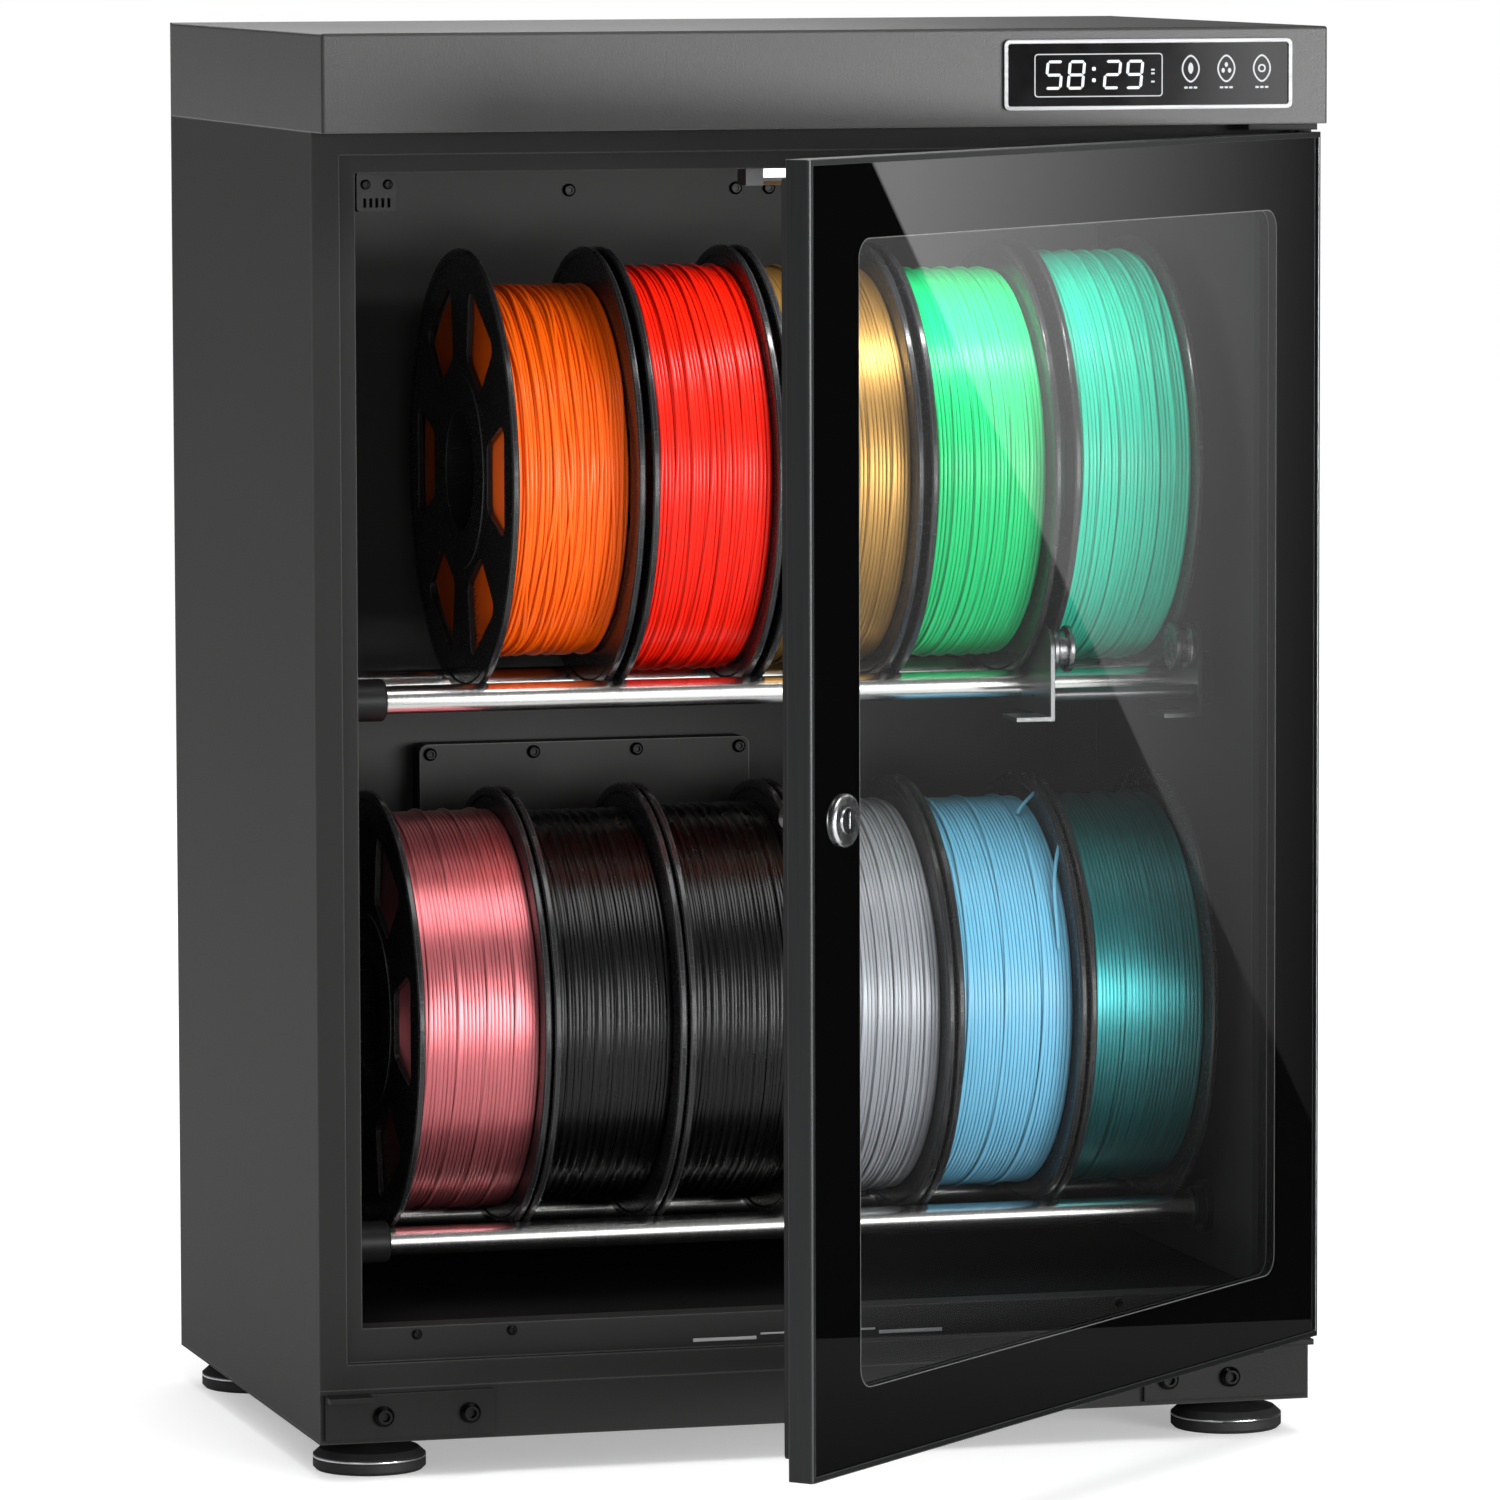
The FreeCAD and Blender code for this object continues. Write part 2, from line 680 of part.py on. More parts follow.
def heater_core():
    """A finned heater: two tubes through a stack of fins, held by end plates."""
    body = new_body("heater_core")
    seat = d.liner_front + d.sheet
    left = d.fan_x - HEATER_HALF_WIDTH - 3
    length = 2 * HEATER_HALF_WIDTH + 6
    tube_y = seat + 10
    extrude(body, "YZ_Plane", left, length,
            circle(tube_y, HEATER_Z - 8, 3.5), circle(tube_y, HEATER_Z + 8, 3.5))
    end_plate = rectangle(seat, HEATER_Z - 21, seat + 20, HEATER_Z + 21)
    extrude(body, "YZ_Plane", left, 2.5, end_plate)
    extrude(body, "YZ_Plane", left + length - 2.5, 2.5, end_plate)
    fin = extrude(body, "YZ_Plane", left + 7, 1, rectangle(seat + 2, HEATER_Z - 16, seat + 18, HEATER_Z + 16))
    linear(body, fin, "N_Axis", length - 15, 14)
    return body


STRUT_THICK = 4
SHAFT_RADIUS = 1.5
SHAFT_PLAY = 0.05


def fan_frame():
    """The square fan housing with its round duct, screw holes, motor mount and struts."""
    body = new_body("fan_frame")
    start = d.liner_front + d.sheet
    half = d.fan_size / 2
    corner = half - 4.5
    screw_holes = [circle(d.fan_x + i * corner, d.fan_z + j * corner, 2.2) for i in (-1, 1) for j in (-1, 1)]
    extrude(body, "XZ_Plane", start, d.fan_thick,
            soft_rectangle(4, d.fan_x - half, d.fan_z - half, d.fan_x + half, d.fan_z + half),
            circle(d.fan_x, d.fan_z, d.fan_duct), *screw_holes)
    back = start + d.fan_thick - STRUT_THICK
    strut = 2.5
    reach = d.fan_duct + 1
    extrude(body, "XZ_Plane", back, STRUT_THICK,
            rectangle(d.fan_x - reach, d.fan_z - strut, d.fan_x + reach, d.fan_z + strut))
    extrude(body, "XZ_Plane", back, STRUT_THICK,
            rectangle(d.fan_x - strut, d.fan_z - reach, d.fan_x + strut, d.fan_z + reach))
    extrude(body, "XZ_Plane", back, STRUT_THICK, circle(d.fan_x, d.fan_z, d.rotor_hub))
    extrude(body, "XZ_Plane", back, STRUT_THICK,
            circle(d.fan_x, d.fan_z, SHAFT_RADIUS + SHAFT_PLAY), cut=True)
    return body


def fan_rotor():
    """The fan's hub with seven twisted blades and its shaft, turning about Y."""
    body = new_body("fan_rotor")
    hub_length = 17
    extrude(body, "XZ_Plane", 0, hub_length, circle(0, 0, d.rotor_hub))
    extrude(body, "XZ_Plane", hub_length, 4, circle(0, 0, SHAFT_RADIUS))
    sections = ((d.rotor_hub - 1.5, 2, 15, 6.5), (d.rotor_radius, 5, 12, 11))
    profiles = []
    blade = 1.2
    for radius, low, high, sweep in sections:
        sketch = new_sketch(body, "YZ_Plane", radius)
        polygon((low, -sweep), (low + blade, -sweep), (high + blade, sweep), (high, sweep))(sketch)
        profiles.append(sketch)
    loft = body.newObject("PartDesign::AdditiveLoft", "blade")
    loft.Profile = profiles[0]
    loft.Sections = profiles[1:]
    loft.Ruled = True
    doc.recompute()
    pattern = body.newObject("PartDesign::PolarPattern", "blades")
    pattern.Originals = [loft]
    spin = next(item for item in body.Origin.OriginFeatures if item.Role == "Y_Axis")
    pattern.Axis = (spin, [""])
    pattern.Angle = 360
    pattern.Occurrences = 7
    body.Tip = pattern
    doc.recompute()
    return place(body, d.fan_x, d.liner_front + d.sheet + 2, d.fan_z)


def light_bar():
    """The lamp under the front of the ceiling: a channel with a bevelled diffuser and end caps."""
    body = new_body("light_bar")
    front = frame_back + 2
    back = front + 14
    low = open_high - 8
    left = -19
    length = 150
    cap = 8
    extrude(body, "YZ_Plane", left, length,
            polygon((front, open_high), (back, open_high), (back, low + 2), (back - 3, low),
                    (front + 3, low), (front, low + 2)))
    for start in (left - cap, left + length):
        extrude(body, "YZ_Plane", start, cap, rectangle(front, low, back, open_high))
    return body


SENSOR = (-200, -182, 34, 50)


def humidity_sensor():
    """The vented probe housing under the ceiling, at the front left."""
    body = new_body("humidity_sensor")
    left, right, front, back = SENSOR
    low = open_high - 18
    extrude(body, "XZ_Plane", front, back - front, soft_rectangle(2, left, low, right, open_high))
    vent = extrude(body, "XZ_Plane", front, back - front,
                   rectangle(left + 3, low + 2, left + 4.2, low + 6), cut=True)
    linear(body, vent, "H_Axis", 10.8, 5)
    return body


def rod(label, y, z):
    """A plated tube across the cabinet, seated in a socket at each end."""
    body = new_body(label)
    wall = 1.5
    slack = 5.5
    seat = 2
    extrude(body, "YZ_Plane", slack - open_x, 2 * open_x - slack - seat,
            circle(y, z, d.rod_radius), circle(y, z, d.rod_radius - wall))
    return body


def rod_places(axis_z):
    """The front and rear rod axes under a row of spools."""
    return tuple((d.spool_depth + side * d.rod_spread, axis_z - rod_drop) for side in (-1, 1))


def rod_pair(label, axis_z):
    """Both rods under one row of spools."""
    return group(label, [rod(f"{label}_{i}", y, z) for i, (y, z) in enumerate(rod_places(axis_z), 1)])


def socket(label, side, depth, y, z):
    """A cup with a mounting collar that holds one end of a rod."""
    body = new_body(label)
    seat = 2
    collar = 3
    bevel = 1
    rise = d.socket_radius + 3
    points = ((0, 0), (seat, 0), (seat, d.rod_radius), (depth, d.rod_radius),
              (depth, d.socket_radius - bevel), (depth - bevel, d.socket_radius),
              (collar, d.socket_radius), (collar, rise), (0, rise))
    revolve(body, "XY_Plane", "H_Axis", polygon(*[(-side * x, r) for x, r in points]))
    return place(body, side * open_x, y, z)


def rod_sockets():
    """All eight rod sockets."""
    cups = []
    for axis_z in (d.upper_axis, d.lower_axis):
        for y, z in rod_places(axis_z):
            cups.append(socket(f"socket_{len(cups)}", -1, d.socket_left, y, z))
            cups.append(socket(f"socket_{len(cups)}", 1, d.socket_right, y, z))
    return group("rod_sockets", cups)


EAR_FOOT = 12
EAR_SADDLE = 13
TAB = 16
TIE_RADIUS = 3


def ear(label, side, roller_start, tab_start):
    """A saddle plate on both rods with a rounded lobe about each roller axle and a bent tab."""
    body = new_body(label)
    gap = d.ear_gap + d.ear_thick
    face = roller_start - gap if side < 0 else roller_start + roller_width + d.ear_gap
    front = d.spool_depth - d.roller_spread
    rear = d.spool_depth + d.roller_spread
    low = upper_rod_z - EAR_FOOT
    sketch = new_sketch(body, "YZ_Plane", face)
    ear_outline(sketch, front, rear, low)
    plate = body.newObject("PartDesign::Pad", label + "_plate")
    plate.Profile = sketch
    bind(plate, "Length", d.ear_thick)
    doc.recompute()
    extrude(body, "YZ_Plane", face, d.ear_thick,
            *[circle(y, z, d.rod_radius) for y, z in rod_places(d.upper_axis)], cut=True)
    axle_start = face if side < 0 else roller_start - 1
    axles = roller_width + gap + 1
    extrude(body, "YZ_Plane", axle_start, axles,
            circle(front, roller_z, d.axle_radius), circle(rear, roller_z, d.axle_radius))
    extrude(body, "XY_Plane", low - d.ear_thick, d.ear_thick,
            rectangle(tab_start, front - d.ear_lobe, tab_start + TAB + d.ear_thick, front + d.ear_lobe))
    return body


def ear_outline(sketch, front, rear, low):
    """Straight foot and sides, a half circle over each axle and a hollow saddle between them."""
    lobe = d.ear_lobe
    outer_front = front - lobe
    inner_front = front + lobe
    inner_rear = rear - lobe
    outer_rear = rear + lobe
    corners = [vector(outer_front, roller_z), vector(outer_front, low), vector(outer_rear, low),
               vector(outer_rear, roller_z)]
    for start, end in zip(corners, corners[1:]):
        sketch.addGeometry(Part.LineSegment(start, end), False)
    up = FreeCAD.Vector(0, lobe.number, 0)
    down = FreeCAD.Vector(0, EAR_SADDLE, 0)
    middle = vector(d.spool_depth, roller_z)
    inner = [vector(inner_rear, roller_z), vector(inner_front, roller_z)]
    sketch.addGeometry(Part.Arc(corners[3], vector(rear, roller_z) + up, inner[0]), False)
    sketch.addGeometry(Part.Arc(inner[0], middle - down, inner[1]), False)
    sketch.addGeometry(Part.Arc(inner[1], vector(front, roller_z) + up, corners[0]), False)
    pin_point(sketch, 0, 1, outer_front, roller_z)
    pin_point(sketch, 0, 2, outer_front, low)
    pin_point(sketch, 2, 1, outer_rear, low)
    pin_point(sketch, 2, 2, outer_rear, roller_z)


def bracket_ears():
    """The roller bracket: two ears and the tie bars between them."""
    left_start = roller_x - roller_side
    right_start = roller_x + d.spool_width - d.flange_rim - roller_side
    left_face = left_start - d.ear_gap
    right_face = right_start + roller_width + d.ear_gap
    ties = []
    for y in (d.spool_depth - d.roller_spread, d.spool_depth + d.roller_spread):
        tie = new_body(f"tie_{len(ties)}")
        extrude(tie, "YZ_Plane", left_face, right_face - left_face, circle(y, upper_rod_z - 3, TIE_RADIUS))
        ties.append(tie)
    ears = [ear("ear_left", -1, left_start, left_face - TAB - d.ear_thick),
            ear("ear_right", 1, right_start, right_face - TAB)]
    return group("bracket_ears", ears + ties)


def roller(label, start, y):
    """A grooved roller turned about X."""
    body = new_body(label)
    bore = d.axle_radius + d.axle_clearance
    flange = d.roller_flange
    bevel = 0.6
    far = flange + d.groove_width
    revolve(body, "XY_Plane", "H_Axis",
            polygon((0, bore), (roller_width, bore), (roller_width, d.roller_radius),
                    (far + bevel, d.roller_radius), (far, d.roller_radius - bevel), (far, d.groove_radius),
                    (flange, d.groove_radius), (flange, d.roller_radius - bevel),
                    (flange - bevel, d.roller_radius), (0, d.roller_radius)))
    return place(body, start, y, roller_z)


def roller_pair(label, side):
    """The left and right rollers that share one axle line."""
    y = d.spool_depth + side * d.roller_spread
    starts = (roller_x - roller_side, roller_x + d.spool_width - d.flange_rim - roller_side)
    return group(label, [roller(f"{label}_{i}", start, y) for i, start in enumerate(starts, 1)])


PLATE_THICK = 2.5
PLATE_LOW = 18


def hinge_brackets():
    """The lower and upper door hinges with their pins, and the spare plate at the left."""
    lower = new_body("lower_hinge")
    inner_end = 150
    outer_end = 226
    tab_start = 206
    ear_top = d.door_bottom - 1
    plate_top = plinth_top - 2
    extrude(lower, "XZ_Plane", -PLATE_THICK, PLATE_THICK,
            polygon((inner_end, PLATE_LOW), (outer_end, PLATE_LOW), (outer_end, ear_top),
                    (tab_start, ear_top), (tab_start, plate_top), (inner_end, plate_top)))
    tab_reach = d.hinge_y + 6.5
    extrude(lower, "XY_Plane", ear_top - PLATE_THICK, PLATE_THICK,
            rectangle(tab_start, -tab_reach, outer_end, 0))
    extrude(lower, "XY_Plane", ear_top, d.door_bottom + d.pin_reach - ear_top,
            circle(d.hinge_x, -d.hinge_y, d.pin_radius))

    upper = new_body("upper_hinge")
    plate = d.head_bottom - d.door_top - 1
    plate_start = d.head_bottom - plate
    extrude(upper, "XY_Plane", plate_start, plate, rectangle(194, -tab_reach, outer_end, -0.5))
    pin_start = d.door_top - d.pin_reach
    extrude(upper, "XY_Plane", pin_start, plate_start - pin_start,
            circle(d.hinge_x, -d.hinge_y, d.pin_radius))

    spare = new_body("spare_hinge_plate")
    extrude(spare, "XZ_Plane", -PLATE_THICK, PLATE_THICK,
            rectangle(-outer_end, PLATE_LOW, -inner_end, plate_top))
    extrude(spare, "XY_Plane", plate_top - PLATE_THICK, PLATE_THICK,
            rectangle(-outer_end, -12, -tab_start, 0))
    return group("hinge_brackets", [lower, upper, spare])


def screw(label, radius, height, x, y, z):
    """A domed socket screw's head, its seat at y and its socket to the front."""
    body = new_body(label)
    socket_radius = 0.45 * radius
    revolve(body, "XY_Plane", "V_Axis",
            polygon((0, -0.4 * height), (socket_radius, -0.4 * height), (socket_radius, -height),
                    (0.7 * radius, -height), (radius, -0.5 * height), (radius, 0), (0, 0)))
    return place(body, x, y, z)


def screws():
    """The heads of the screws that show: hinge plates, heater cover, liner, sill and probe."""
    cover_left, cover_right = COVER[0] + 5, COVER[2] - 5
    cover_step = (cover_right - cover_left) / 3
    cover_y = d.liner_front - COVER_DEPTH
    heads = [(4.5, 4, x, -PLATE_THICK, 28) for x in (-200, -161, 161, 190)]
    heads += [(3, 1.8, cover_left + i * cover_step, cover_y, COVER[3] - 4.5) for i in range(4)]
    heads += [(3, 1.8, x, d.liner_front, 555) for x in (-49, 31, 47)]
    heads += [(2.2, 1.5, x, d.step_depth, open_low - 3.5) for x in (-183, -140, 140, 183)]
    heads += [(2.2, 1.2, x, SENSOR[2], open_high - 6) for x in (-196, -186)]
    return group("screws", [screw(f"screw_{i}", *head) for i, head in enumerate(heads)])


def foot(label, x, y):
    """A levelling foot: rubber pad, ring, dished disc, collar and threaded stud, turned as one."""
    body = new_body(label)
    edge = d.foot_radius
    collar = 7
    shoulder = d.foot_height - 0.3
    stud_top = d.foot_height + 20
    revolve(body, "XZ_Plane", "V_Axis",
            polygon((0, 0), (edge - 1.5, 0), (edge, 1.5), (edge, 5), (edge - 0.8, 5.4), (edge - 0.8, 6.4),
                    (edge, 6.8), (edge - 3, 9.5), (collar + 4, 11.5), (collar, 12), (collar, shoulder),
                    (d.stud_radius, shoulder), (d.stud_radius, stud_top), (0, stud_top)))
    return place(body, x, y, 0)


def hang(body):
    """Turn a piece built about the hinge axis to the door's opening angle."""
    body.Placement = FreeCAD.Placement(FreeCAD.Vector(), FreeCAD.Rotation(FreeCAD.Vector(0, 0, 1), 1))
    bind(body, "Placement.Rotation.Angle", d.door_angle)
    return place(body, d.hinge_x, -d.hinge_y, 0)


def door_window(inset):
    """The door's front outline, made smaller on all sides."""
    return (door_left + inset, d.door_bottom + inset, d.hinge_inset - inset, d.door_top - inset)


BLOCK_WIDTH = 15
BLOCK_HEIGHT = 14


def hinge_blocks(play):
    """Front rectangles of the two bearing blocks at the hinge edge of the door."""
    x_high = d.hinge_inset - d.rim
    x_low = x_high - BLOCK_WIDTH - play
    low = d.door_bottom + d.rim
    high = d.door_top - d.rim
    height = BLOCK_HEIGHT + play
    return ((x_low, low, x_high, low + height), (x_low, high - height, x_high, high))


def door_frame():
    """The rim about the glass, its back flange and the two bored hinge blocks."""
    body = new_body("door_frame")
    depth = d.door_front + d.door_back
    frame_ring(body, door_window(0), door_window(d.rim), -d.door_front, depth)

    def upright(edge):
        middle = edge.BoundBox.Center
        outer = middle.x > d.hinge_inset.number - 0.1 or middle.x < door_left.number + 0.1
        return outer and runs_along(edge, 2)

    fillet(body, 1.5, upright)
    flange_start = d.door_back - d.rim_flange_thick
    frame_ring(body, door_window(d.rim / 2), door_window(d.rim_flange), flange_start, d.rim_flange_thick)
    block_depth = d.door_back - glass_back
    for block in hinge_blocks(0):
        extrude(body, "XZ_Plane", glass_back, block_depth, rectangle(*block))
    bore = d.pin_radius + d.pin_clearance
    deep = d.pin_reach + 0.5
    extrude(body, "XY_Plane", d.door_bottom, deep, circle(0, 0, bore), cut=True)
    extrude(body, "XY_Plane", d.door_top - deep, deep, circle(0, 0, bore), cut=True)
    return hang(body)


LOCK_HOLE_PLAY = 0.1


def door_glass():
    """The clear pane, bored for the lock."""
    body = new_body("door_glass")
    extrude(body, "XZ_Plane", glass_front, d.glass_thick, rectangle(*door_window(d.rim)),
            circle(lock_x, lock_z, d.lock_barrel_radius + LOCK_HOLE_PLAY))
    return hang(body)


def door_liner():
    """The dark folded border behind the glass, round the window, with an outer wall and a lip."""
    body = new_body("door_liner")
    low = d.door_bottom + d.border_end
    high = d.door_top - d.border_end
    left = door_left + d.border_side
    right = d.hinge_inset - d.border_side
    window = soft_rectangle(d.window_radius, left, low, right, high)
    wall_depth = d.door_back - d.rim_flange_thick - glass_back
    extrude(body, "XZ_Plane", glass_back, d.sheet, rectangle(*door_window(d.rim)), window)
    frame_ring(body, door_window(d.rim), door_window(d.rim + d.sheet), glass_back, wall_depth)
    extrude(body, "XZ_Plane", glass_back, wall_depth,
            soft_rectangle(d.window_radius + d.sheet, *grown((left, low, right, high), d.sheet)), window)
    extrude(body, "XZ_Plane", glass_back, wall_depth,
            *[rectangle(*block) for block in hinge_blocks(0.5)], cut=True)
    extrude(body, "XZ_Plane", glass_back, d.sheet,
            circle(lock_x, lock_z, d.lock_barrel_radius + LOCK_HOLE_PLAY), cut=True)
    return hang(body)


def door_gasket():
    """The seal on the door's back flange: a flat base and a narrower bulb with rounded corners."""
    body = new_body("door_gasket")
    x_high = step_x - d.seal_gap - d.hinge_x
    x_low = -step_x + d.seal_gap - d.hinge_x
    low = step_low + d.seal_gap
    high = step_high - d.seal_gap
    base = 3
    bulb = 1.2
    width = d.seal_width
    outer = (x_low, low, x_high, high)
    extrude(body, "XZ_Plane", d.door_back, base,
            soft_rectangle(3, *outer), soft_rectangle(1, *grown(outer, -width)))
    extrude(body, "XZ_Plane", d.door_back, d.seal_depth,
            soft_rectangle(3 - bulb, *grown(outer, -bulb)),
            soft_rectangle(1 + bulb, *grown(outer, bulb - width)))
    return hang(body)


BARREL_END = 10


def lock_barrel():
    """The lock's bright ring on the glass, its barrel and the nut behind the border."""
    body = new_body("lock_barrel")
    ring = 2.2
    front = glass_front - ring
    nut = 3
    extrude(body, "XZ_Plane", front, ring, circle(lock_x, lock_z, d.lock_ring_radius))

    def rim_edge(edge):
        return edge.BoundBox.Center.y < front.number + 0.1

    fillet(body, 1.4, rim_edge)
    extrude(body, "XZ_Plane", glass_front, BARREL_END - glass_front,
            circle(lock_x, lock_z, d.lock_barrel_radius))
    turn = math.pi / 3
    nut_radius = d.lock_barrel_radius + 3
    extrude(body, "XZ_Plane", glass_back + d.sheet, nut,
            polygon(*[(lock_x + nut_radius * math.cos(i * turn), lock_z + nut_radius * math.sin(i * turn))
                      for i in range(6)]))
    extrude(body, "XZ_Plane", front, BARREL_END - front,
            circle(lock_x, lock_z, d.lock_plug_radius + d.lock_clearance), cut=True)
    return hang(body)


def lock_plug():
    """The turning plug with its keyway and a tail for the cam."""
    body = new_body("lock_plug")
    front = glass_front - 2.6
    key_half = 0.8
    key_height = 3.2
    extrude(body, "XZ_Plane", front, d.cam_start - front, circle(lock_x, lock_z, d.lock_plug_radius))
    extrude(body, "XZ_Plane", front, 7,
            rectangle(lock_x - key_half, lock_z - key_height, lock_x + key_half, lock_z + key_height),
            cut=True)
    return hang(body)


def lock_cam():
    """The locking tongue, pointing up while unlocked, and the nut that holds it to the plug."""
    body = new_body("lock_cam")
    end = d.cam_width / 2
    nose = lock_z + d.cam_reach - end
    extrude(body, "XZ_Plane", d.cam_start, d.cam_thick,
            rounded(end, (lock_x, lock_z), (lock_x + 0.01, lock_z), (lock_x + 0.01, nose), (lock_x, nose)))
    extrude(body, "XZ_Plane", d.cam_start, d.cam_thick + 3, circle(lock_x, lock_z, 4.5))
    return hang(body)


UPPER_ROW = (("orange", 84), ("red", 92), ("gold", 91), ("green", 89), ("mint", 94))
LOWER_ROW = (("pink", 91), ("black_left", 89), ("black_right", 90), ("grey", 90), ("blue", 90), ("teal", 90))


def spool_places():
    """Every spool as colour, left face, axis height and wound radius."""
    places = []
    for i, (colour, wound) in enumerate(UPPER_ROW):
        on_rollers = colour == "mint"
        x = roller_x if on_rollers else d.upper_start + i * d.upper_pitch
        places.append((colour, x, roller_axis if on_rollers else d.upper_axis, wound))
    for i, (colour, wound) in enumerate(LOWER_ROW):
        places.append((colour, d.lower_start + i * d.lower_pitch, d.lower_axis, wound))
    return places


WINDOW_COUNT = 6
WINDOW_CORNER = 5


def spool(colour, x, z):
    """A moulded reel: drum, two beaded flanges and six windows through both."""
    body = new_body(f"spool_{colour}")
    relief = (d.flange_rim - d.flange_web) / 2
    bead = d.spool_radius - d.rim_height
    slope = bead - 1
    edge = d.spool_radius - d.rim_bevel
    half = [(0, d.hub_ring), (relief, d.hub_ring), (relief, slope), (0, bead), (0, edge),
            (d.rim_bevel, d.spool_radius), (d.flange_rim - d.rim_bevel, d.spool_radius),
            (d.flange_rim, edge), (d.flange_rim, bead), (relief + d.flange_web, slope),
            (relief + d.flange_web, d.spool_hub)]
    other = [(d.spool_width - along, radius) for along, radius in reversed(half)]
    ends = [(d.spool_width, d.spool_bore), (0, d.spool_bore)]
    revolve(body, "XY_Plane", "H_Axis", polygon(*half, *other, *ends))
    window = extrude(body, "YZ_Plane", 0, d.spool_width,
                     rounded(WINDOW_CORNER, (55, -11), (77, -19), (77, 19), (55, 11)), cut=True)
    polar(body, window, WINDOW_COUNT)
    return place(body, x, d.spool_depth, z)


def filament(colour, x, z, wound):
    """The wound filament on one spool, filling the drum to its outer turns."""
    body = new_body(f"filament_{colour}")
    left = (d.flange_rim + d.flange_web) / 2
    revolve(body, "XY_Plane", "H_Axis", rectangle(left, d.spool_hub, d.spool_width - left, wound))
    return place(body, x, d.spool_depth, z)


def build():
    """Make every sub-part."""
    keep(side_panel("left_side_panel", -1))
    keep(side_panel("right_side_panel", 1))
    keep(back_panel())
    keep(rear_liner())
    keep(pan("floor_panel", open_low, FLOOR_LIP, -1))
    keep(pan("ceiling_panel", open_high, d.head_bottom - open_high, 1))
    keep(front_frame())
    keep(base_plinth())
    keep(head_cover())
    keep(control_bezel())
    keep(control_glass())
    keep(display_board())
    keep(power_inlet())
    keep(heater_cover())
    keep(heater_core())
    keep(fan_frame())
    keep(fan_rotor())
    keep(light_bar())
    keep(humidity_sensor())
    keep(rod_pair("upper_rods", d.upper_axis))
    keep(rod_pair("lower_rods", d.lower_axis))
    keep(rod_sockets())
    keep(bracket_ears())
    keep(roller_pair("front_rollers", -1))
    keep(roller_pair("rear_rollers", 1))
    keep(hinge_brackets())
    keep(screws())
    for label, x, y in foot_places():
        keep(foot(label, x, y))
    keep(door_frame())
    keep(door_glass())
    keep(door_liner())
    keep(door_gasket())
    keep(lock_barrel())
    keep(lock_plug())
    keep(lock_cam())
    for colour, x, z, wound in spool_places():
        keep(spool(colour, x, z))
        keep(filament(colour, x, z, wound))


def check():
    """Stop if any object failed or any sub-part is empty or unsound."""
    doc.recompute()
    failed = [item.Name for item in doc.Objects if "Invalid" in item.State or "Error" in item.State]
    unsound = [node.Label for node in nodes if node.Shape.isNull() or not node.Shape.isValid()]
    if failed or unsound:
        raise RuntimeError(f"failed objects {failed}, unsound sub-parts {unsound}")


def export():
    """Write each sub-part to its own file."""
    os.makedirs("parts", exist_ok=True)
    for node in nodes:
        node.Shape.exportStep(f"parts/{node.Label}.step")


build()
check()
export()
print(f"{len(nodes)} sub-parts written")
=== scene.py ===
import math

import bmesh
import bpy
from mathutils import Matrix, Vector


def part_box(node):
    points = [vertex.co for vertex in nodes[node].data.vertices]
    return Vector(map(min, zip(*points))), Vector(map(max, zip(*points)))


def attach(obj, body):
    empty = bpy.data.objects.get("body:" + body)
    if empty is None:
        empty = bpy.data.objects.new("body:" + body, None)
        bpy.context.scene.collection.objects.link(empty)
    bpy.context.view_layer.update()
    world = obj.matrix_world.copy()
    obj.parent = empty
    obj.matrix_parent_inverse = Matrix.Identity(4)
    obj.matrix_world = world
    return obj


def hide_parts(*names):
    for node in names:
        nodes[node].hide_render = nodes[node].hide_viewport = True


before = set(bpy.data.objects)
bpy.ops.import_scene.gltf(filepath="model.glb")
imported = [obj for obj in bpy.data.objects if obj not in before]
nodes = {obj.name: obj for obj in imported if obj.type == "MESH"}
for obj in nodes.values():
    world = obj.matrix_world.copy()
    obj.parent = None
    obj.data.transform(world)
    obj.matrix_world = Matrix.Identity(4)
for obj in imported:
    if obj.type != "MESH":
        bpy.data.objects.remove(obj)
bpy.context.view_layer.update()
scene = bpy.context.scene
scene.view_settings.view_transform = "Standard"
MM = 0.001


# Building node trees

BEVEL_SAMPLES = 4
# Cosine of the turn of a rounded edge's facing where its painted highlight is full, and where it is none
EDGE_HIGHLIGHT_FULL, EDGE_HIGHLIGHT_NONE = 0.75, 0.97


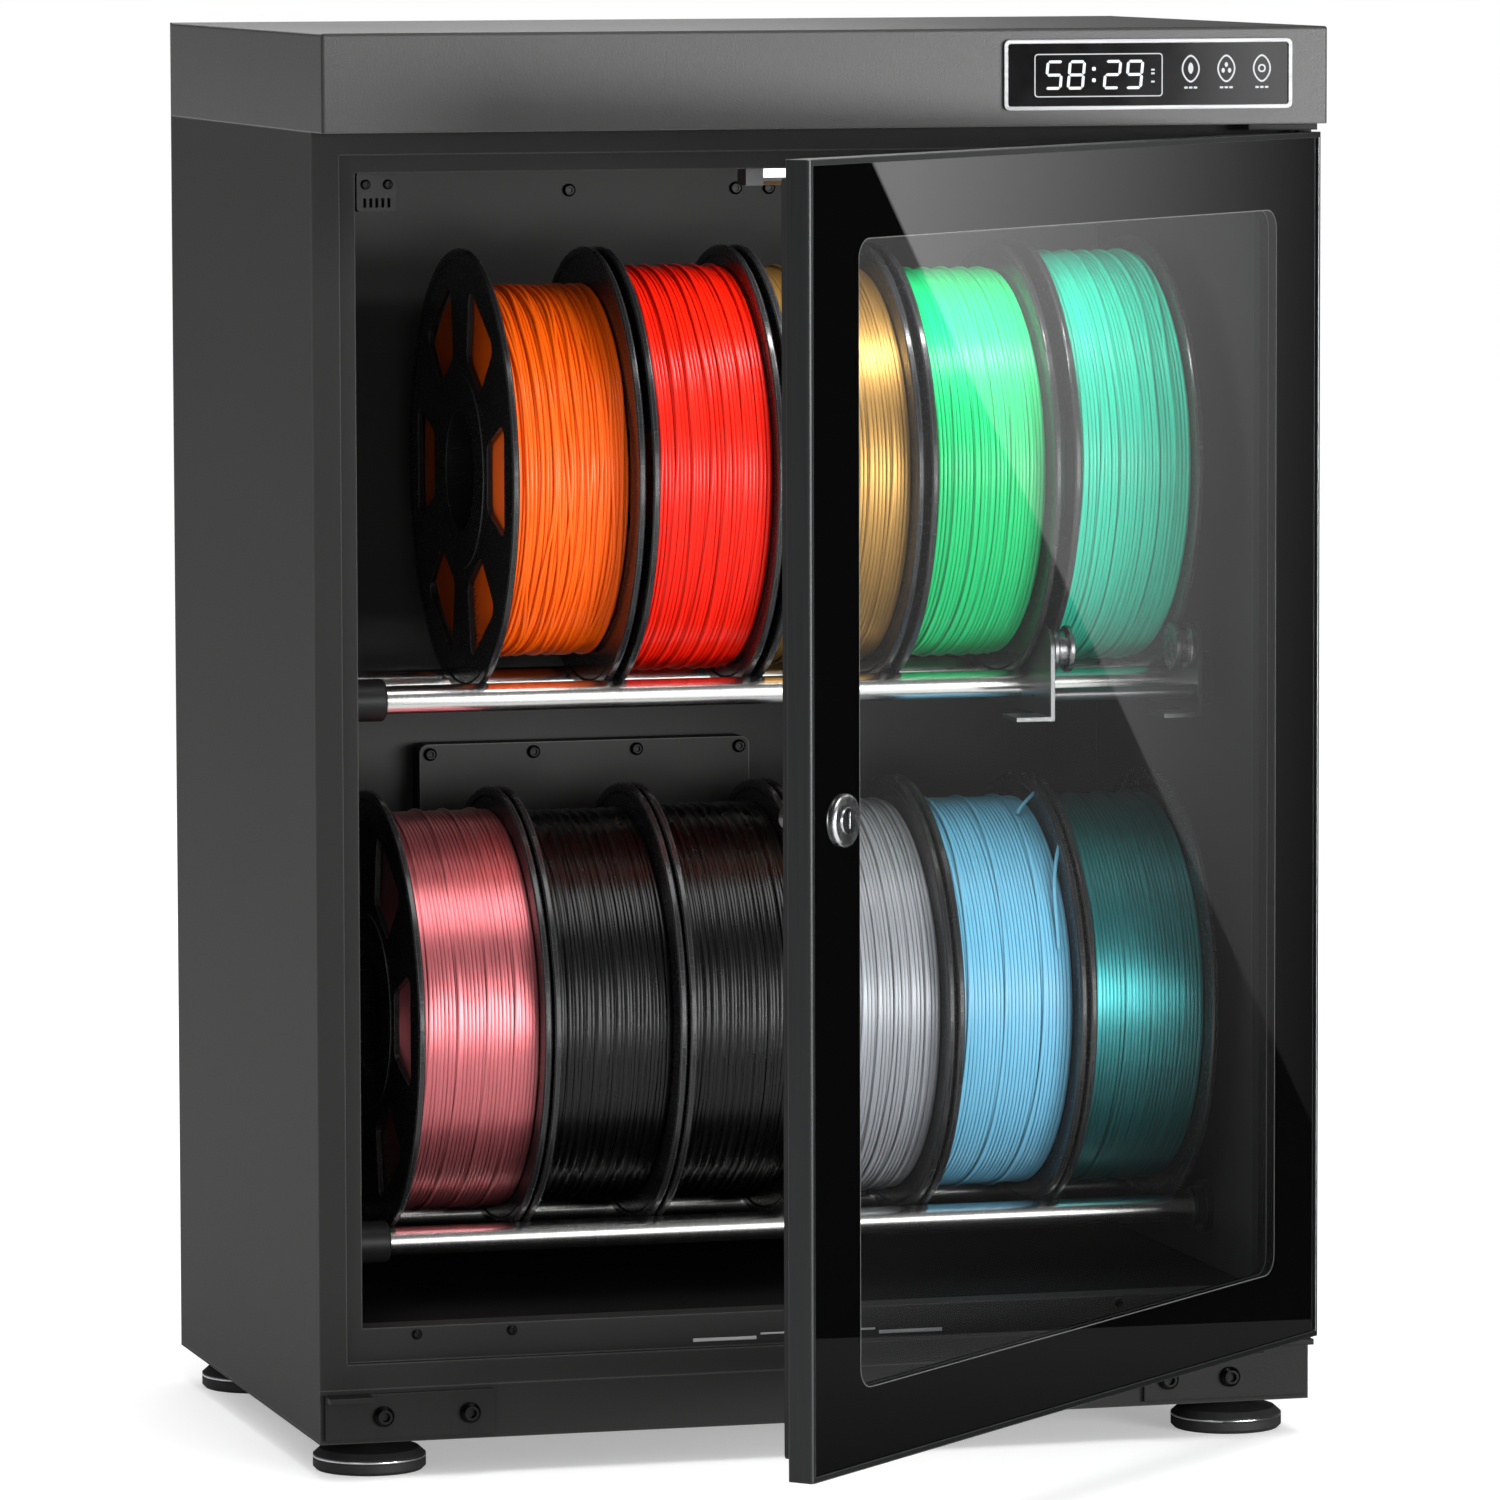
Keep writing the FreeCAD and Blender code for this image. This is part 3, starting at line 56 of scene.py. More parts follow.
class Nodes:
    """A node tree with short calls for adding and joining nodes."""

    def __init__(self, tree):
        self.tree = tree

    def add(self, kind, values=None, **settings):
        """A new node; values sets or links its inputs by name or number."""
        node = self.tree.nodes.new(kind)
        for name, value in settings.items():
            setattr(node, name, value)
        for key, value in (values or {}).items():
            self.join(node.inputs[key], value)
        return node

    def join(self, socket, value):
        """Feed a socket from another socket or with a plain value."""
        if isinstance(value, bpy.types.NodeSocket):
            self.tree.links.new(value, socket)
        else:
            socket.default_value = value

    def math(self, operation, first, second=0.0):
        """The number that a Math node gives."""
        return self.add("ShaderNodeMath", {0: first, 1: second}, operation=operation).outputs[0]

    def vector(self, operation, first, second=(0, 0, 0)):
        """The vector that a Vector Math node gives."""
        return self.add("ShaderNodeVectorMath", {0: first, 1: second}, operation=operation).outputs[0]

    def dot(self, first, second):
        """How far one vector reaches along another."""
        node = self.add("ShaderNodeVectorMath", {0: first, 1: second}, operation="DOT_PRODUCT")
        return node.outputs["Value"]

    def axes(self, place):
        """The X, Y and Z of a vector."""
        return self.add("ShaderNodeSeparateXYZ", {0: place}).outputs

    def noise(self, vector, scale=1.0, detail=2.0, roughness=0.5):
        """Soft noise from 0 to 1."""
        values = {"Vector": vector, "Scale": scale, "Detail": detail, "Roughness": roughness}
        return self.add("ShaderNodeTexNoise", values).outputs["Fac"]

    def spread(self, value, low, high, start=0.0, end=1.0):
        """Map a value from start..end to low..high."""
        values = {"Value": value, "From Min": start, "From Max": end, "To Min": low, "To Max": high}
        return self.add("ShaderNodeMapRange", values).outputs["Result"]

    def blend(self, share, first, second):
        """A mix of two colours."""
        node = self.add("ShaderNodeMix", {"Factor": share}, data_type="RGBA")
        self.join(node.inputs[6], first)
        self.join(node.inputs[7], second)
        return node.outputs[2]

    def seen_white(self):
        """1 where the camera sees a surface straight or through clear glass, 0 in mirrors and for light."""
        rays = self.add("ShaderNodeLightPath").outputs
        bounces = self.math("ADD", rays["Diffuse Depth"], rays["Glossy Depth"])
        straight = self.math("LESS_THAN", bounces, 0.5)
        through = self.math("MULTIPLY", rays["Is Transmission Ray"], straight)
        return self.math("MAXIMUM", rays["Is Camera Ray"], through)


class Finish(Nodes):
    """A material built round one Principled shader."""

    def __init__(self, name, **sockets):
        self.material = bpy.data.materials.new(name)
        self.material.use_nodes = True
        super().__init__(self.material.node_tree)
        self.shader = self.tree.nodes["Principled BSDF"]
        for key, value in sockets.items():
            self.set(key.replace("_", " "), value)

    def set(self, socket, value):
        """Feed one of the shader's inputs."""
        self.join(self.shader.inputs[socket], value)

    def coords(self, stretch=(1, 1, 1)):
        """Object coordinates, stretched."""
        source = self.add("ShaderNodeTexCoord").outputs["Object"]
        return self.add("ShaderNodeMapping", {"Vector": source, "Scale": stretch}).outputs[0]

    def rounded(self, radius):
        """The surface's facing, with sharp edges rounded off."""
        return self.add("ShaderNodeBevel", {"Radius": radius}, samples=BEVEL_SAMPLES).outputs[0]

    def edge_share(self, radius):
        """How near a point is to a sharp edge, from 0 on flats to 1 on the edge; the painted edge highlights
        follow it.
        """
        flat = self.add("ShaderNodeNewGeometry").outputs["Normal"]
        return self.spread(self.dot(self.rounded(radius), flat), 1.0, 0.0, EDGE_HIGHLIGHT_FULL, EDGE_HIGHLIGHT_NONE)

    def relief(self, height, depth, strength, facing):
        """Bump from a height, over the given facing of the surface."""
        values = {"Height": height, "Distance": depth, "Strength": strength, "Normal": facing}
        self.set("Normal", self.add("ShaderNodeBump", values).outputs[0])


def grey(level):
    """A neutral colour."""
    return (level, level, level, 1.0)


def tint(colour, factor):
    """A colour made lighter or darker."""
    return tuple(min(1.0, part * factor) for part in colour[:3]) + (1.0,)


def middle_of(node):
    """The middle of a CAD node's box."""
    low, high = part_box(node)
    return (low + high) / 2


# Finishes

def powder_coat(name, colour, rough=0.5, shine=0.09, edge_highlight=6.0):
    """Charcoal paint with a fine grain and faint clouding, and a painted highlight along its soft edges."""
    edge = 1.1 * MM
    look = Finish(name, Specular_IOR_Level=shine)
    place = look.coords()
    grain = look.noise(place, scale=1100, detail=3.0, roughness=0.65)
    cloud = look.noise(place, scale=7, detail=4.0)
    shade = look.blend(cloud, tint(colour, 0.9), tint(colour, 1.1))
    painted = look.blend(look.spread(grain, 0.0, 0.35), shade, tint(colour, 1.5))
    # The lighter colour along the edges is a painted highlight
    look.set("Base Color", look.blend(look.edge_share(edge), painted, tint(colour, edge_highlight)))
    look.set("Roughness", look.spread(grain, rough - 0.07, rough + 0.1))
    look.relief(grain, depth=0.12 * MM, strength=0.5, facing=look.rounded(edge))
    return look.material


def moulded_plastic(name, colour):
    """Moulded plastic with a fine spark-eroded texture."""
    edge = 0.4 * MM
    look = Finish(name, Specular_IOR_Level=0.22)
    place = look.coords()
    fine = look.noise(place, scale=1600)
    flow = look.noise(place, scale=24, detail=3.0)
    look.set("Base Color", look.blend(flow, tint(colour, 0.85), tint(colour, 1.15)))
    look.set("Roughness", look.spread(flow, 0.34, 0.48))
    look.relief(fine, depth=0.05 * MM, strength=0.4, facing=look.rounded(edge))
    return look.material


def spool_plastic(name):
    """Glossy black injection moulding with faint handling marks and a painted highlight along its edges."""
    colour = (0.010, 0.010, 0.011, 1.0)
    edge, highlight_edge = 0.7 * MM, 0.9 * MM
    look = Finish(name, Specular_IOR_Level=0.55)
    flow = look.noise(look.coords(), scale=30, detail=3.0)
    rubs = look.noise(look.coords((160, 900, 900)), detail=4.0, roughness=0.7)
    moulded = look.blend(flow, tint(colour, 0.8), tint(colour, 1.5))
    # Grey along the rims is a painted highlight
    look.set("Base Color", look.blend(look.edge_share(highlight_edge), moulded, grey(0.11)))
    look.set("Roughness", look.spread(rubs, 0.16, 0.34, 0.3, 0.8))
    look.relief(flow, depth=0.2 * MM, strength=0.15, facing=look.rounded(edge))
    return look.material


def polished(name, colour, rough, grain):
    """Plated or turned metal with fine tool lines."""
    edge = 0.4 * MM
    look = Finish(name, Metallic=1.0)
    lines = look.noise(look.coords(grain))
    look.set("Base Color", look.blend(lines, tint(colour, 0.88), tint(colour, 1.06)))
    look.set("Roughness", look.spread(lines, rough * 0.7, rough * 1.5))
    look.relief(lines, depth=0.02 * MM, strength=0.2, facing=look.rounded(edge))
    return look.material


def anodised(name, colour, grain):
    """Dark brushed aluminium with a painted highlight along its edge."""
    edge = 0.8 * MM
    look = Finish(name, Metallic=0.85)
    lines = look.noise(look.coords(grain), detail=3.0)
    brushed = look.blend(lines, tint(colour, 0.8), tint(colour, 1.25))
    # The much lighter colour at the edge is a painted highlight
    look.set("Base Color", look.blend(look.edge_share(edge), brushed, tint(colour, 9)))
    look.set("Roughness", look.spread(lines, 0.27, 0.45))
    look.relief(lines, depth=0.03 * MM, strength=0.25, facing=look.rounded(edge))
    return look.material


def rubber(name):
    """Matt black rubber with a dusty bloom."""
    edge = 0.6 * MM
    look = Finish(name, Specular_IOR_Level=0.3)
    bloom = look.noise(look.coords(), scale=130, detail=4.0, roughness=0.6)
    look.set("Base Color", look.blend(bloom, grey(0.010), grey(0.026)))
    look.set("Roughness", look.spread(bloom, 0.55, 0.75))
    look.relief(bloom, depth=0.1 * MM, strength=0.3, facing=look.rounded(edge))
    return look.material


# The door as it stands open: the way its outer face looks, and the way along it towards the hinge
DOOR_ANGLE = math.radians(44)
DOOR_FACING = Vector((math.sin(DOOR_ANGLE), -math.cos(DOOR_ANGLE), 0))
DOOR_ALONG = Vector((math.cos(DOOR_ANGLE), math.sin(DOOR_ANGLE), 0))
# Width of the pane's black border at the sides and at the ends, and the corners and soft rim of its window
BORDER_SIDE, BORDER_END = 38.5 * MM, 30.5 * MM
WINDOW_RADIUS, WINDOW_RIM = 9 * MM, 0.6 * MM
# Density of the film on the window, and the heights between which it grows
FILM_LOW, FILM_HIGH = 0.03, 0.26
FILM_FROM, FILM_TO = 0.1, 0.55
GLASS_DIM, GLASS_BRIGHT = (0.96, 0.985, 0.98, 1), (0.98, 0.995, 0.99, 1)
GLASS_PASSING = (0.98, 0.985, 0.983, 1)


def reach(node, way):
    """The least and the greatest place of a CAD node along a direction."""
    places = [way.dot(vert.co) for vert in nodes[node].data.vertices]
    return min(places), max(places)


def window_inside(look, place, pane):
    """1 in the clear window of the pane, 0 in its black border."""
    left, right = reach(pane, DOOR_ALONG)
    low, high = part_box(pane)
    beyond = []
    for value, start, end in (
            (look.dot(place, DOOR_ALONG), left + BORDER_SIDE, right - BORDER_SIDE),
            (look.axes(place)["Z"], low.z + BORDER_END, high.z - BORDER_END)):
        off = look.math("ABSOLUTE", look.math("SUBTRACT", value, (start + end) / 2))
        over = look.math("SUBTRACT", off, (end - start) / 2 - WINDOW_RADIUS)
        over = look.math("MAXIMUM", over, 0.0)
        beyond.append(look.math("MULTIPLY", over, over))
    corner = look.math("SQRT", look.math("ADD", *beyond))
    return look.spread(corner, 1.0, 0.0, WINDOW_RADIUS - WINDOW_RIM, WINDOW_RADIUS)


def clear_glass(name, pane):
    """A pane with a black border, which mirrors on its outer face and lets lamps through.

    A thin dusty film lies on the window, denser towards the top.
    """
    look = Finish(name, Roughness=0.0, IOR=1.0, Coat_IOR=1.5, Coat_Roughness=0.0)
    place = look.coords()
    outer = look.math("GREATER_THAN", look.dot(place, DOOR_FACING), sum(reach(pane, DOOR_FACING)) / 2)
    inside = window_inside(look, place, pane)
    look.set("Coat Weight", outer)
    look.set("Transmission Weight", inside)
    film = look.spread(look.axes(place)["Z"], FILM_LOW, FILM_HIGH, FILM_FROM, FILM_TO)
    look.set("Sheen Weight", look.math("MULTIPLY", outer, look.math("MULTIPLY", inside, film)))
    clear = look.blend(look.noise(place, scale=9, detail=4.0), GLASS_DIM, GLASS_BRIGHT)
    look.set("Base Color", look.blend(inside, grey(0.003), clear))
    lamp_ray = look.add("ShaderNodeLightPath").outputs["Is Shadow Ray"]
    passing = look.add("ShaderNodeBsdfTransparent", {"Color": GLASS_PASSING}).outputs[0]
    shown = look.add("ShaderNodeMixShader", {0: lamp_ray, 1: look.shader.outputs[0], 2: passing})
    look.join(look.tree.nodes["Material Output"].inputs["Surface"], shown.outputs[0])
    return look.material


def black_glaze(name, shine):
    """Smooth black ceramic; shine says how much it mirrors."""
    look = Finish(name, Specular_IOR_Level=shine)
    speck = look.noise(look.coords(), scale=60)
    look.set("Base Color", look.blend(speck, grey(0.002), grey(0.005)))
    look.set("Roughness", look.spread(speck, 0.05, 0.11))
    return look.material


def filament_plastic(name, colour, rough, metal, streak, silk, coat, shine, centre):
    """Extruded thread: each turn a little lighter or darker, with long streaks along the winding.

    Silk leans the shading from the single thread towards the round of the whole winding.
    """
    look = Finish(name, Metallic=metal, Specular_IOR_Level=shine, Coat_Weight=coat, Coat_Roughness=0.3)
    turn_tone = look.noise(look.coords((620, 9, 9)))
    along = look.noise(look.coords((150, 40, 40)), detail=3.0)
    turns = look.blend(turn_tone, tint(colour, 1.0 - streak), tint(colour, 1.0 + 0.6 * streak))
    look.set("Base Color", look.blend(look.spread(along, 0.0, 0.5), turns, tint(colour, 1.12)))
    look.set("Roughness", look.spread(along, rough - 0.07, rough + 0.1))
    outward = look.vector("MULTIPLY", look.vector("SUBTRACT", look.coords(), centre), (0, 1, 1))
    turned = look.add("ShaderNodeVectorTransform", {0: outward}, vector_type="NORMAL",
                      convert_from="OBJECT", convert_to="WORLD").outputs[0]
    round_share = look.vector("MULTIPLY", look.vector("NORMALIZE", turned), (silk, silk, silk))
    own = look.add("ShaderNodeNewGeometry").outputs["Normal"]
    own_share = look.vector("MULTIPLY", own, (1 - silk, 1 - silk, 1 - silk))
    facing = look.vector("NORMALIZE", look.vector("ADD", own_share, round_share))
    look.relief(along, depth=0.06 * MM, strength=0.3, facing=facing)
    return look.material


def circuit_board(name):
    """Green solder mask with a weave under it."""
    look = Finish(name, Roughness=0.35)
    weave = look.add("ShaderNodeTexChecker", {"Vector": look.coords(), "Scale": 1400.0}).outputs["Fac"]
    look.set("Base Color", look.blend(weave, (0.012, 0.11, 0.04, 1), (0.018, 0.15, 0.055, 1)))
    return look.material


LAMP_CAP, LAMP_LENS = 8 * MM, 4.5 * MM
LAMP_LOW, LAMP_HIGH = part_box("light_bar")
LAMP_LEFT, LAMP_RIGHT = LAMP_LOW.x + LAMP_CAP, LAMP_HIGH.x - LAMP_CAP
LAMP_GLOW = 1.1


def lamp_bar(name):
    """A lit white diffuser between two black end caps."""
    look = Finish(name, Roughness=0.4, Emission_Color=(1.0, 0.98, 0.94, 1))
    place = look.axes(look.coords())
    inside = look.math("GREATER_THAN", place["Z"], LAMP_HIGH.z - LAMP_LENS)
    for test, end in (("GREATER_THAN", LAMP_LEFT), ("LESS_THAN", LAMP_RIGHT)):
        inside = look.math("MULTIPLY", inside, look.math(test, place["X"], end))
    look.set("Base Color", look.blend(inside, grey(0.015), grey(0.85)))
    look.set("Emission Strength", look.math("MULTIPLY", inside, LAMP_GLOW))
    return look.material


def lit_mark(name, colour, strength):
    """Glowing display segments, a little uneven."""
    look = Finish(name, Roughness=0.4, Base_Color=grey(0.02), Emission_Color=colour)
    uneven = look.noise(look.coords(), scale=300, detail=1.0)
    look.set("Emission Strength", look.spread(uneven, strength * 0.85, strength * 1.1))
    return look.material


CHARCOAL = (0.021, 0.021, 0.0205, 1.0)
BLACK = grey(0.009)
# Stretch of a metal's tool lines: rings round the rods, no direction, and level lines
ROD_GRAIN, EVEN_GRAIN, LEVEL_GRAIN = (4000, 60, 60), (200, 200, 200), (40, 40, 900)
paint = powder_coat("charcoal_powder_coat", CHARCOAL)
inner_paint = powder_coat("inner_powder_coat", tint(CHARCOAL, 1.9), rough=0.6)
floor_paint = powder_coat("inner_floor_paint", tint(CHARCOAL, 0.06), rough=0.7, shine=0.05)
head_paint = powder_coat("head_powder_coat", CHARCOAL, rough=0.31, shine=0.25)
front_paint = powder_coat("front_powder_coat", tint(CHARCOAL, 0.68))
hinge_paint = powder_coat("hinge_paint", tint(CHARCOAL, 0.5), rough=0.4, edge_highlight=3.0)
black_plastic = moulded_plastic("black_plastic", BLACK)
spool_black = spool_plastic("spool_black")
chrome = polished("rod_chrome", (0.93, 0.92, 0.90, 1), 0.2, ROD_GRAIN)
lock_chrome = polished("lock_chrome", (0.82, 0.83, 0.85, 1), 0.2, EVEN_GRAIN)
lock_satin = polished("lock_satin", (0.7, 0.71, 0.72, 1), 0.24, EVEN_GRAIN)
turned_steel = polished("turned_steel", (0.25, 0.25, 0.254, 1), 0.25, EVEN_GRAIN)
black_screw = polished("black_screw", grey(0.012), 0.3, EVEN_GRAIN)
bracket_steel = polished("bracket_steel", (0.12, 0.12, 0.123, 1), 0.3, LEVEL_GRAIN)
strip_steel = polished("strip_steel", (0.3, 0.3, 0.31, 1), 0.3, LEVEL_GRAIN)
bright_alu = polished("bezel_aluminium", (0.13, 0.131, 0.133, 1), 0.35, (40, 40, 1400))
bare_fins = polished("heater_fins", grey(0.7), 0.3, (2000, 40, 40))
door_rim = anodised("door_rim", (0.03, 0.0312, 0.0318, 1), (900, 900, 14))
touch_pane = black_glaze("touch_pane", shine=0.05)
fired_border = black_glaze("fired_border", shine=0.0)
seal = rubber("black_rubber")
glass = clear_glass("door_pane", "door_glass")
board = circuit_board("circuit_board")
lamp = lamp_bar("lamp_bar")
digit_light = lit_mark("display_light", (0.86, 0.93, 1.0, 1), strength=1.0)
key_light = lit_mark("key_light", (0.8, 0.84, 0.88, 1), strength=0.7)

# Colour, roughness, metal share, streak depth, silk, coat, shine
THREADS = {
    "orange": ((1.0, 0.118, 0.003), 0.36, 0.0, 0.30, 0.35, 0.0, 0.3),
    "red": ((0.86, 0.012, 0.003), 0.30, 0.0, 0.30, 0.55, 0.0, 0.24),
    "gold": ((0.43, 0.235, 0.06), 0.40, 0.75, 0.25, 0.75, 0.15, 0.4),
    "green": ((0.007, 0.58, 0.18), 0.32, 0.0, 0.25, 0.60, 0.0, 0.3),
    "mint": ((0.012, 0.57, 0.37), 0.36, 0.0, 0.25, 0.60, 0.0, 0.3),
    "pink": ((0.62, 0.15, 0.17), 0.31, 0.80, 0.20, 0.88, 1.0, 0.5),
    "black_left": ((0.002, 0.002, 0.002), 0.26, 0.0, 0.40, 0.66, 0.0, 0.4),
    "black_right": ((0.002, 0.002, 0.002), 0.26, 0.0, 0.40, 0.66, 0.0, 0.4),
    "grey": ((0.31, 0.32, 0.35), 0.36, 0.15, 0.25, 0.80, 0.0, 0.4),
    "blue": ((0.16, 0.48, 0.70), 0.36, 0.0, 0.10, 0.78, 0.0, 0.3),
    "teal": ((0.018, 0.23, 0.245), 0.36, 0.70, 0.22, 0.88, 1.0, 0.5),
}
thread_finish = {colour: filament_plastic("thread_" + colour, *values, middle_of("filament_" + colour))
                 for colour, values in THREADS.items()}


def dress(finish, *names):
    """Give CAD nodes their finish."""
    for name in names:
        mesh = nodes[name].data
        mesh.materials.clear()
        mesh.materials.append(finish)


FEET = ("foot_front_left", "foot_front_right", "foot_rear_left", "foot_rear_right")
dress(paint, "left_side_panel", "right_side_panel", "back_panel")
dress(front_paint, "front_frame", "base_plinth")
dress(inner_paint, "rear_liner", "ceiling_panel", "heater_cover")
dress(floor_paint, "floor_panel")
dress(head_paint, "head_cover")
dress(hinge_paint, "hinge_brackets")
dress(black_plastic, "power_inlet", "fan_frame", "fan_rotor", "humidity_sensor", "rod_sockets")
dress(chrome, "upper_rods", "lower_rods")
dress(lock_satin, "lock_barrel")
dress(lock_chrome, "lock_plug")
dress(black_screw, "screws")
dress(turned_steel, "front_rollers", "rear_rollers")
dress(bracket_steel, "bracket_ears", "lock_cam")
dress(bright_alu, "control_bezel")
dress(bare_fins, "heater_core")
dress(door_rim, "door_frame")
dress(touch_pane, "control_glass")
dress(fired_border, "door_liner")
dress(seal, "door_gasket", *FEET)
dress(glass, "door_glass")
dress(board, "display_board")
dress(lamp, "light_bar")
for colour in THREADS:
    dress(spool_black, "spool_" + colour)
    dress(thread_finish[colour], "filament_" + colour)


# Making pieces

def add_object(name, mesh):
    """An object at the origin that shows a mesh."""
    piece = bpy.data.objects.new(name, mesh)
    scene.collection.objects.link(piece)
    return piece


def mesh_from(name, shape):
    """A mesh from a bmesh, its faces pointing outwards."""
    bmesh.ops.recalc_face_normals(shape, faces=shape.faces)
    mesh = bpy.data.meshes.new(name)
    shape.to_mesh(mesh)
    shape.free()
    return mesh


def mesh_piece(name, shape, finish, body):
    """A finished piece from a bmesh, riding on a body."""
    mesh = mesh_from(name, shape)
    mesh.materials.append(finish)
    piece = add_object(name, mesh)
    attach(piece, body)
    return piece


def soften(shape, edges, offset):
    """Round off edges by a small distance."""
    bmesh.ops.bevel(shape, geom=edges, offset=offset, segments=2, profile=0.5, affect="EDGES")


class Growth(Nodes):
    """A geometry tree with named inputs."""

    def __init__(self, name, **inputs):
        super().__init__(bpy.data.node_groups.new(name, "GeometryNodeTree"))
        self.keys = {}
        face = self.tree.interface
        face.new_socket("Geometry", in_out="INPUT", socket_type="NodeSocketGeometry")
        for label, kind in inputs.items():
            socket = face.new_socket(label, in_out="INPUT", socket_type="NodeSocket" + kind)
            self.keys[label] = socket.identifier
        face.new_socket("Geometry", in_out="OUTPUT", socket_type="NodeSocketGeometry")
        self.source = self.add("NodeGroupInput").outputs
        self.sink = self.add("NodeGroupOutput").inputs

    def tube(self, line, radius, sides):
        """A round tube along a line."""
        section = self.add("GeometryNodeCurvePrimitiveCircle", {"Resolution": sides, "Radius": radius})
        values = {"Curve": line, "Profile Curve": section.outputs[0], "Fill Caps": True}
        return self.add("GeometryNodeCurveToMesh", values).outputs[0]

    def joined(self, shapes):
        """Several shapes as one."""
        node = self.add("GeometryNodeJoinGeometry")
        for shape in shapes:
            self.tree.links.new(shape, node.inputs[0])
        return node.outputs[0]

    def end(self, shape):
        """Make the shape real and set its finish."""
        real = self.add("GeometryNodeRealizeInstances", {0: shape}).outputs[0]
        smooth = self.add("GeometryNodeSetShadeSmooth", {0: real}).outputs[0]
        values = {"Geometry": smooth, "Material": self.source["Finish"]}
        self.join(self.sink[0], self.add("GeometryNodeSetMaterial", values).outputs[0])

    def grow(self, name, mesh, **values):
        """Run the tree on a mesh and keep the result as a plain mesh object."""
        carrier = add_object(name + "_carrier", mesh)
        modifier = carrier.modifiers.new("growth", "NODES")
        modifier.node_group = self.tree
        for label, value in values.items():
            modifier[self.keys[label]] = value
        bpy.context.view_layer.update()
        ready = carrier.evaluated_get(bpy.context.evaluated_depsgraph_get())
        result = bpy.data.meshes.new_from_object(ready)
        result.name = name
        bpy.data.objects.remove(carrier)
        return add_object(name, result)


# Wound filament

THREAD = 1.75 * MM
HUB = 40 * MM
TURN_STEPS, THREAD_SIDES, COIL_STEPS, CORE_STEPS = 84, 6, 56, 72
# Depth of a helix under the wound radius, in threads, how fast its sway changes across X, Y and Z of the
# winding, and how far its turns lift, in threads
LAYER = (1.25, (7.0, 7.0, 430.0), 0.45)
STRAY = (0.62, (8.0, 8.0, 170.0), 0.6)
# Noise seldom strays from its middle by more than a quarter
NOISE_MIDDLE, NOISE_GAIN = 0.5, 4.0


def thread_tree():
    """Windings about an axis along X: a close layer, loose turns over it and coils down both sides."""
    tree = Growth("wound_filament", Centre="Vector", Width="Float", Radius="Float", Hub="Float",
                  Thread="Float", Turns="Float", LooseTurns="Float", Rings="Int", Wander="Float",
                  Stray="Float", Seed="Float", Finish="Material")
    thread = tree.source["Thread"]
    width = tree.source["Width"]
    half = tree.math("MULTIPLY", thread, 0.5)
    span = tree.math("SUBTRACT", width, thread)
    far_end = tree.math("SUBTRACT", width, half)
    position = tree.add("GeometryNodeInputPosition").outputs[0]

    def wound(turns, sway, depth, stretch, lift):
        """A helix of turns whose line sways sideways and lifts a little."""
        radius = tree.math("SUBTRACT", tree.source["Radius"], tree.math("MULTIPLY", thread, depth))
        values = {"Resolution": TURN_STEPS, "Rotations": turns, "Start Radius": radius,
                  "End Radius": radius, "Height": span}
        helix = tree.add("GeometryNodeCurveSpiral", values).outputs[0]
        values = {"Vector": tree.vector("MULTIPLY", position, stretch), "W": tree.source["Seed"],
                  "Scale": 1.0, "Detail": 1.0}
        noise = tree.add("ShaderNodeTexNoise", values, noise_dimensions="4D").outputs["Color"]
        off_middle = tree.vector("SUBTRACT", noise, (NOISE_MIDDLE, NOISE_MIDDLE, NOISE_MIDDLE))
        drift = tree.axes(off_middle)
        side = tree.math("MULTIPLY", drift["X"], tree.math("MULTIPLY", sway, NOISE_GAIN))
        rise = tree.math("MULTIPLY", drift["Y"], tree.math("MULTIPLY", thread, lift))
        swell = tree.math("ADD", 1.0, tree.math("DIVIDE", rise, radius))
        point = tree.axes(position)
        along = tree.math("ADD", tree.math("ADD", point["Z"], side), half)
        along = tree.math("MINIMUM", tree.math("MAXIMUM", along, half), far_end)
        across = [tree.math("MULTIPLY", point[axis], swell) for axis in "XY"]
        moved = tree.add("ShaderNodeCombineXYZ", {0: across[0], 1: across[1], 2: along}).outputs[0]
        laid = tree.add("GeometryNodeSetPosition", {"Geometry": helix, "Position": moved}).outputs[0]
        return tree.tube(laid, half, THREAD_SIDES)

    def coil(end):
        """Flat rings from the hub outwards, at one end of the winding."""
        values = {"Count": tree.source["Rings"], "Offset": (0, 0, 0)}
        row = tree.add("GeometryNodeMeshLine", values).outputs[0]
        values = {"Resolution": COIL_STEPS, "Radius": 1.0}
        ring = tree.add("GeometryNodeCurvePrimitiveCircle", values).outputs[0]
        index = tree.add("GeometryNodeInputIndex").outputs[0]
        out = tree.math("MULTIPLY", tree.math("ADD", index, 0.5), thread)
        size = tree.math("ADD", tree.source["Hub"], out)
        scale = tree.add("ShaderNodeCombineXYZ", {0: size, 1: size, 2: 1.0}).outputs[0]
        values = {"Points": row, "Instance": ring, "Scale": scale}
        rings = tree.add("GeometryNodeInstanceOnPoints", values).outputs[0]
        real = tree.add("GeometryNodeRealizeInstances", {0: rings}).outputs[0]
        offset = tree.add("ShaderNodeCombineXYZ", {2: end}).outputs[0]
        placed = tree.add("GeometryNodeSetPosition", {"Geometry": real, "Offset": offset}).outputs[0]
        return tree.tube(placed, half, THREAD_SIDES)

    layer = wound(tree.source["Turns"], tree.source["Wander"], *LAYER)
    stray = wound(tree.source["LooseTurns"], tree.source["Stray"], *STRAY)
    values = {"Geometry": tree.joined((layer, stray, coil(half), coil(far_end))),
              "Rotation": (0, math.pi / 2, 0), "Translation": tree.source["Centre"]}
    turned = tree.add("GeometryNodeTransform", values).outputs[0]
    tree.end(tree.joined((turned, tree.source["Geometry"])))
    return tree


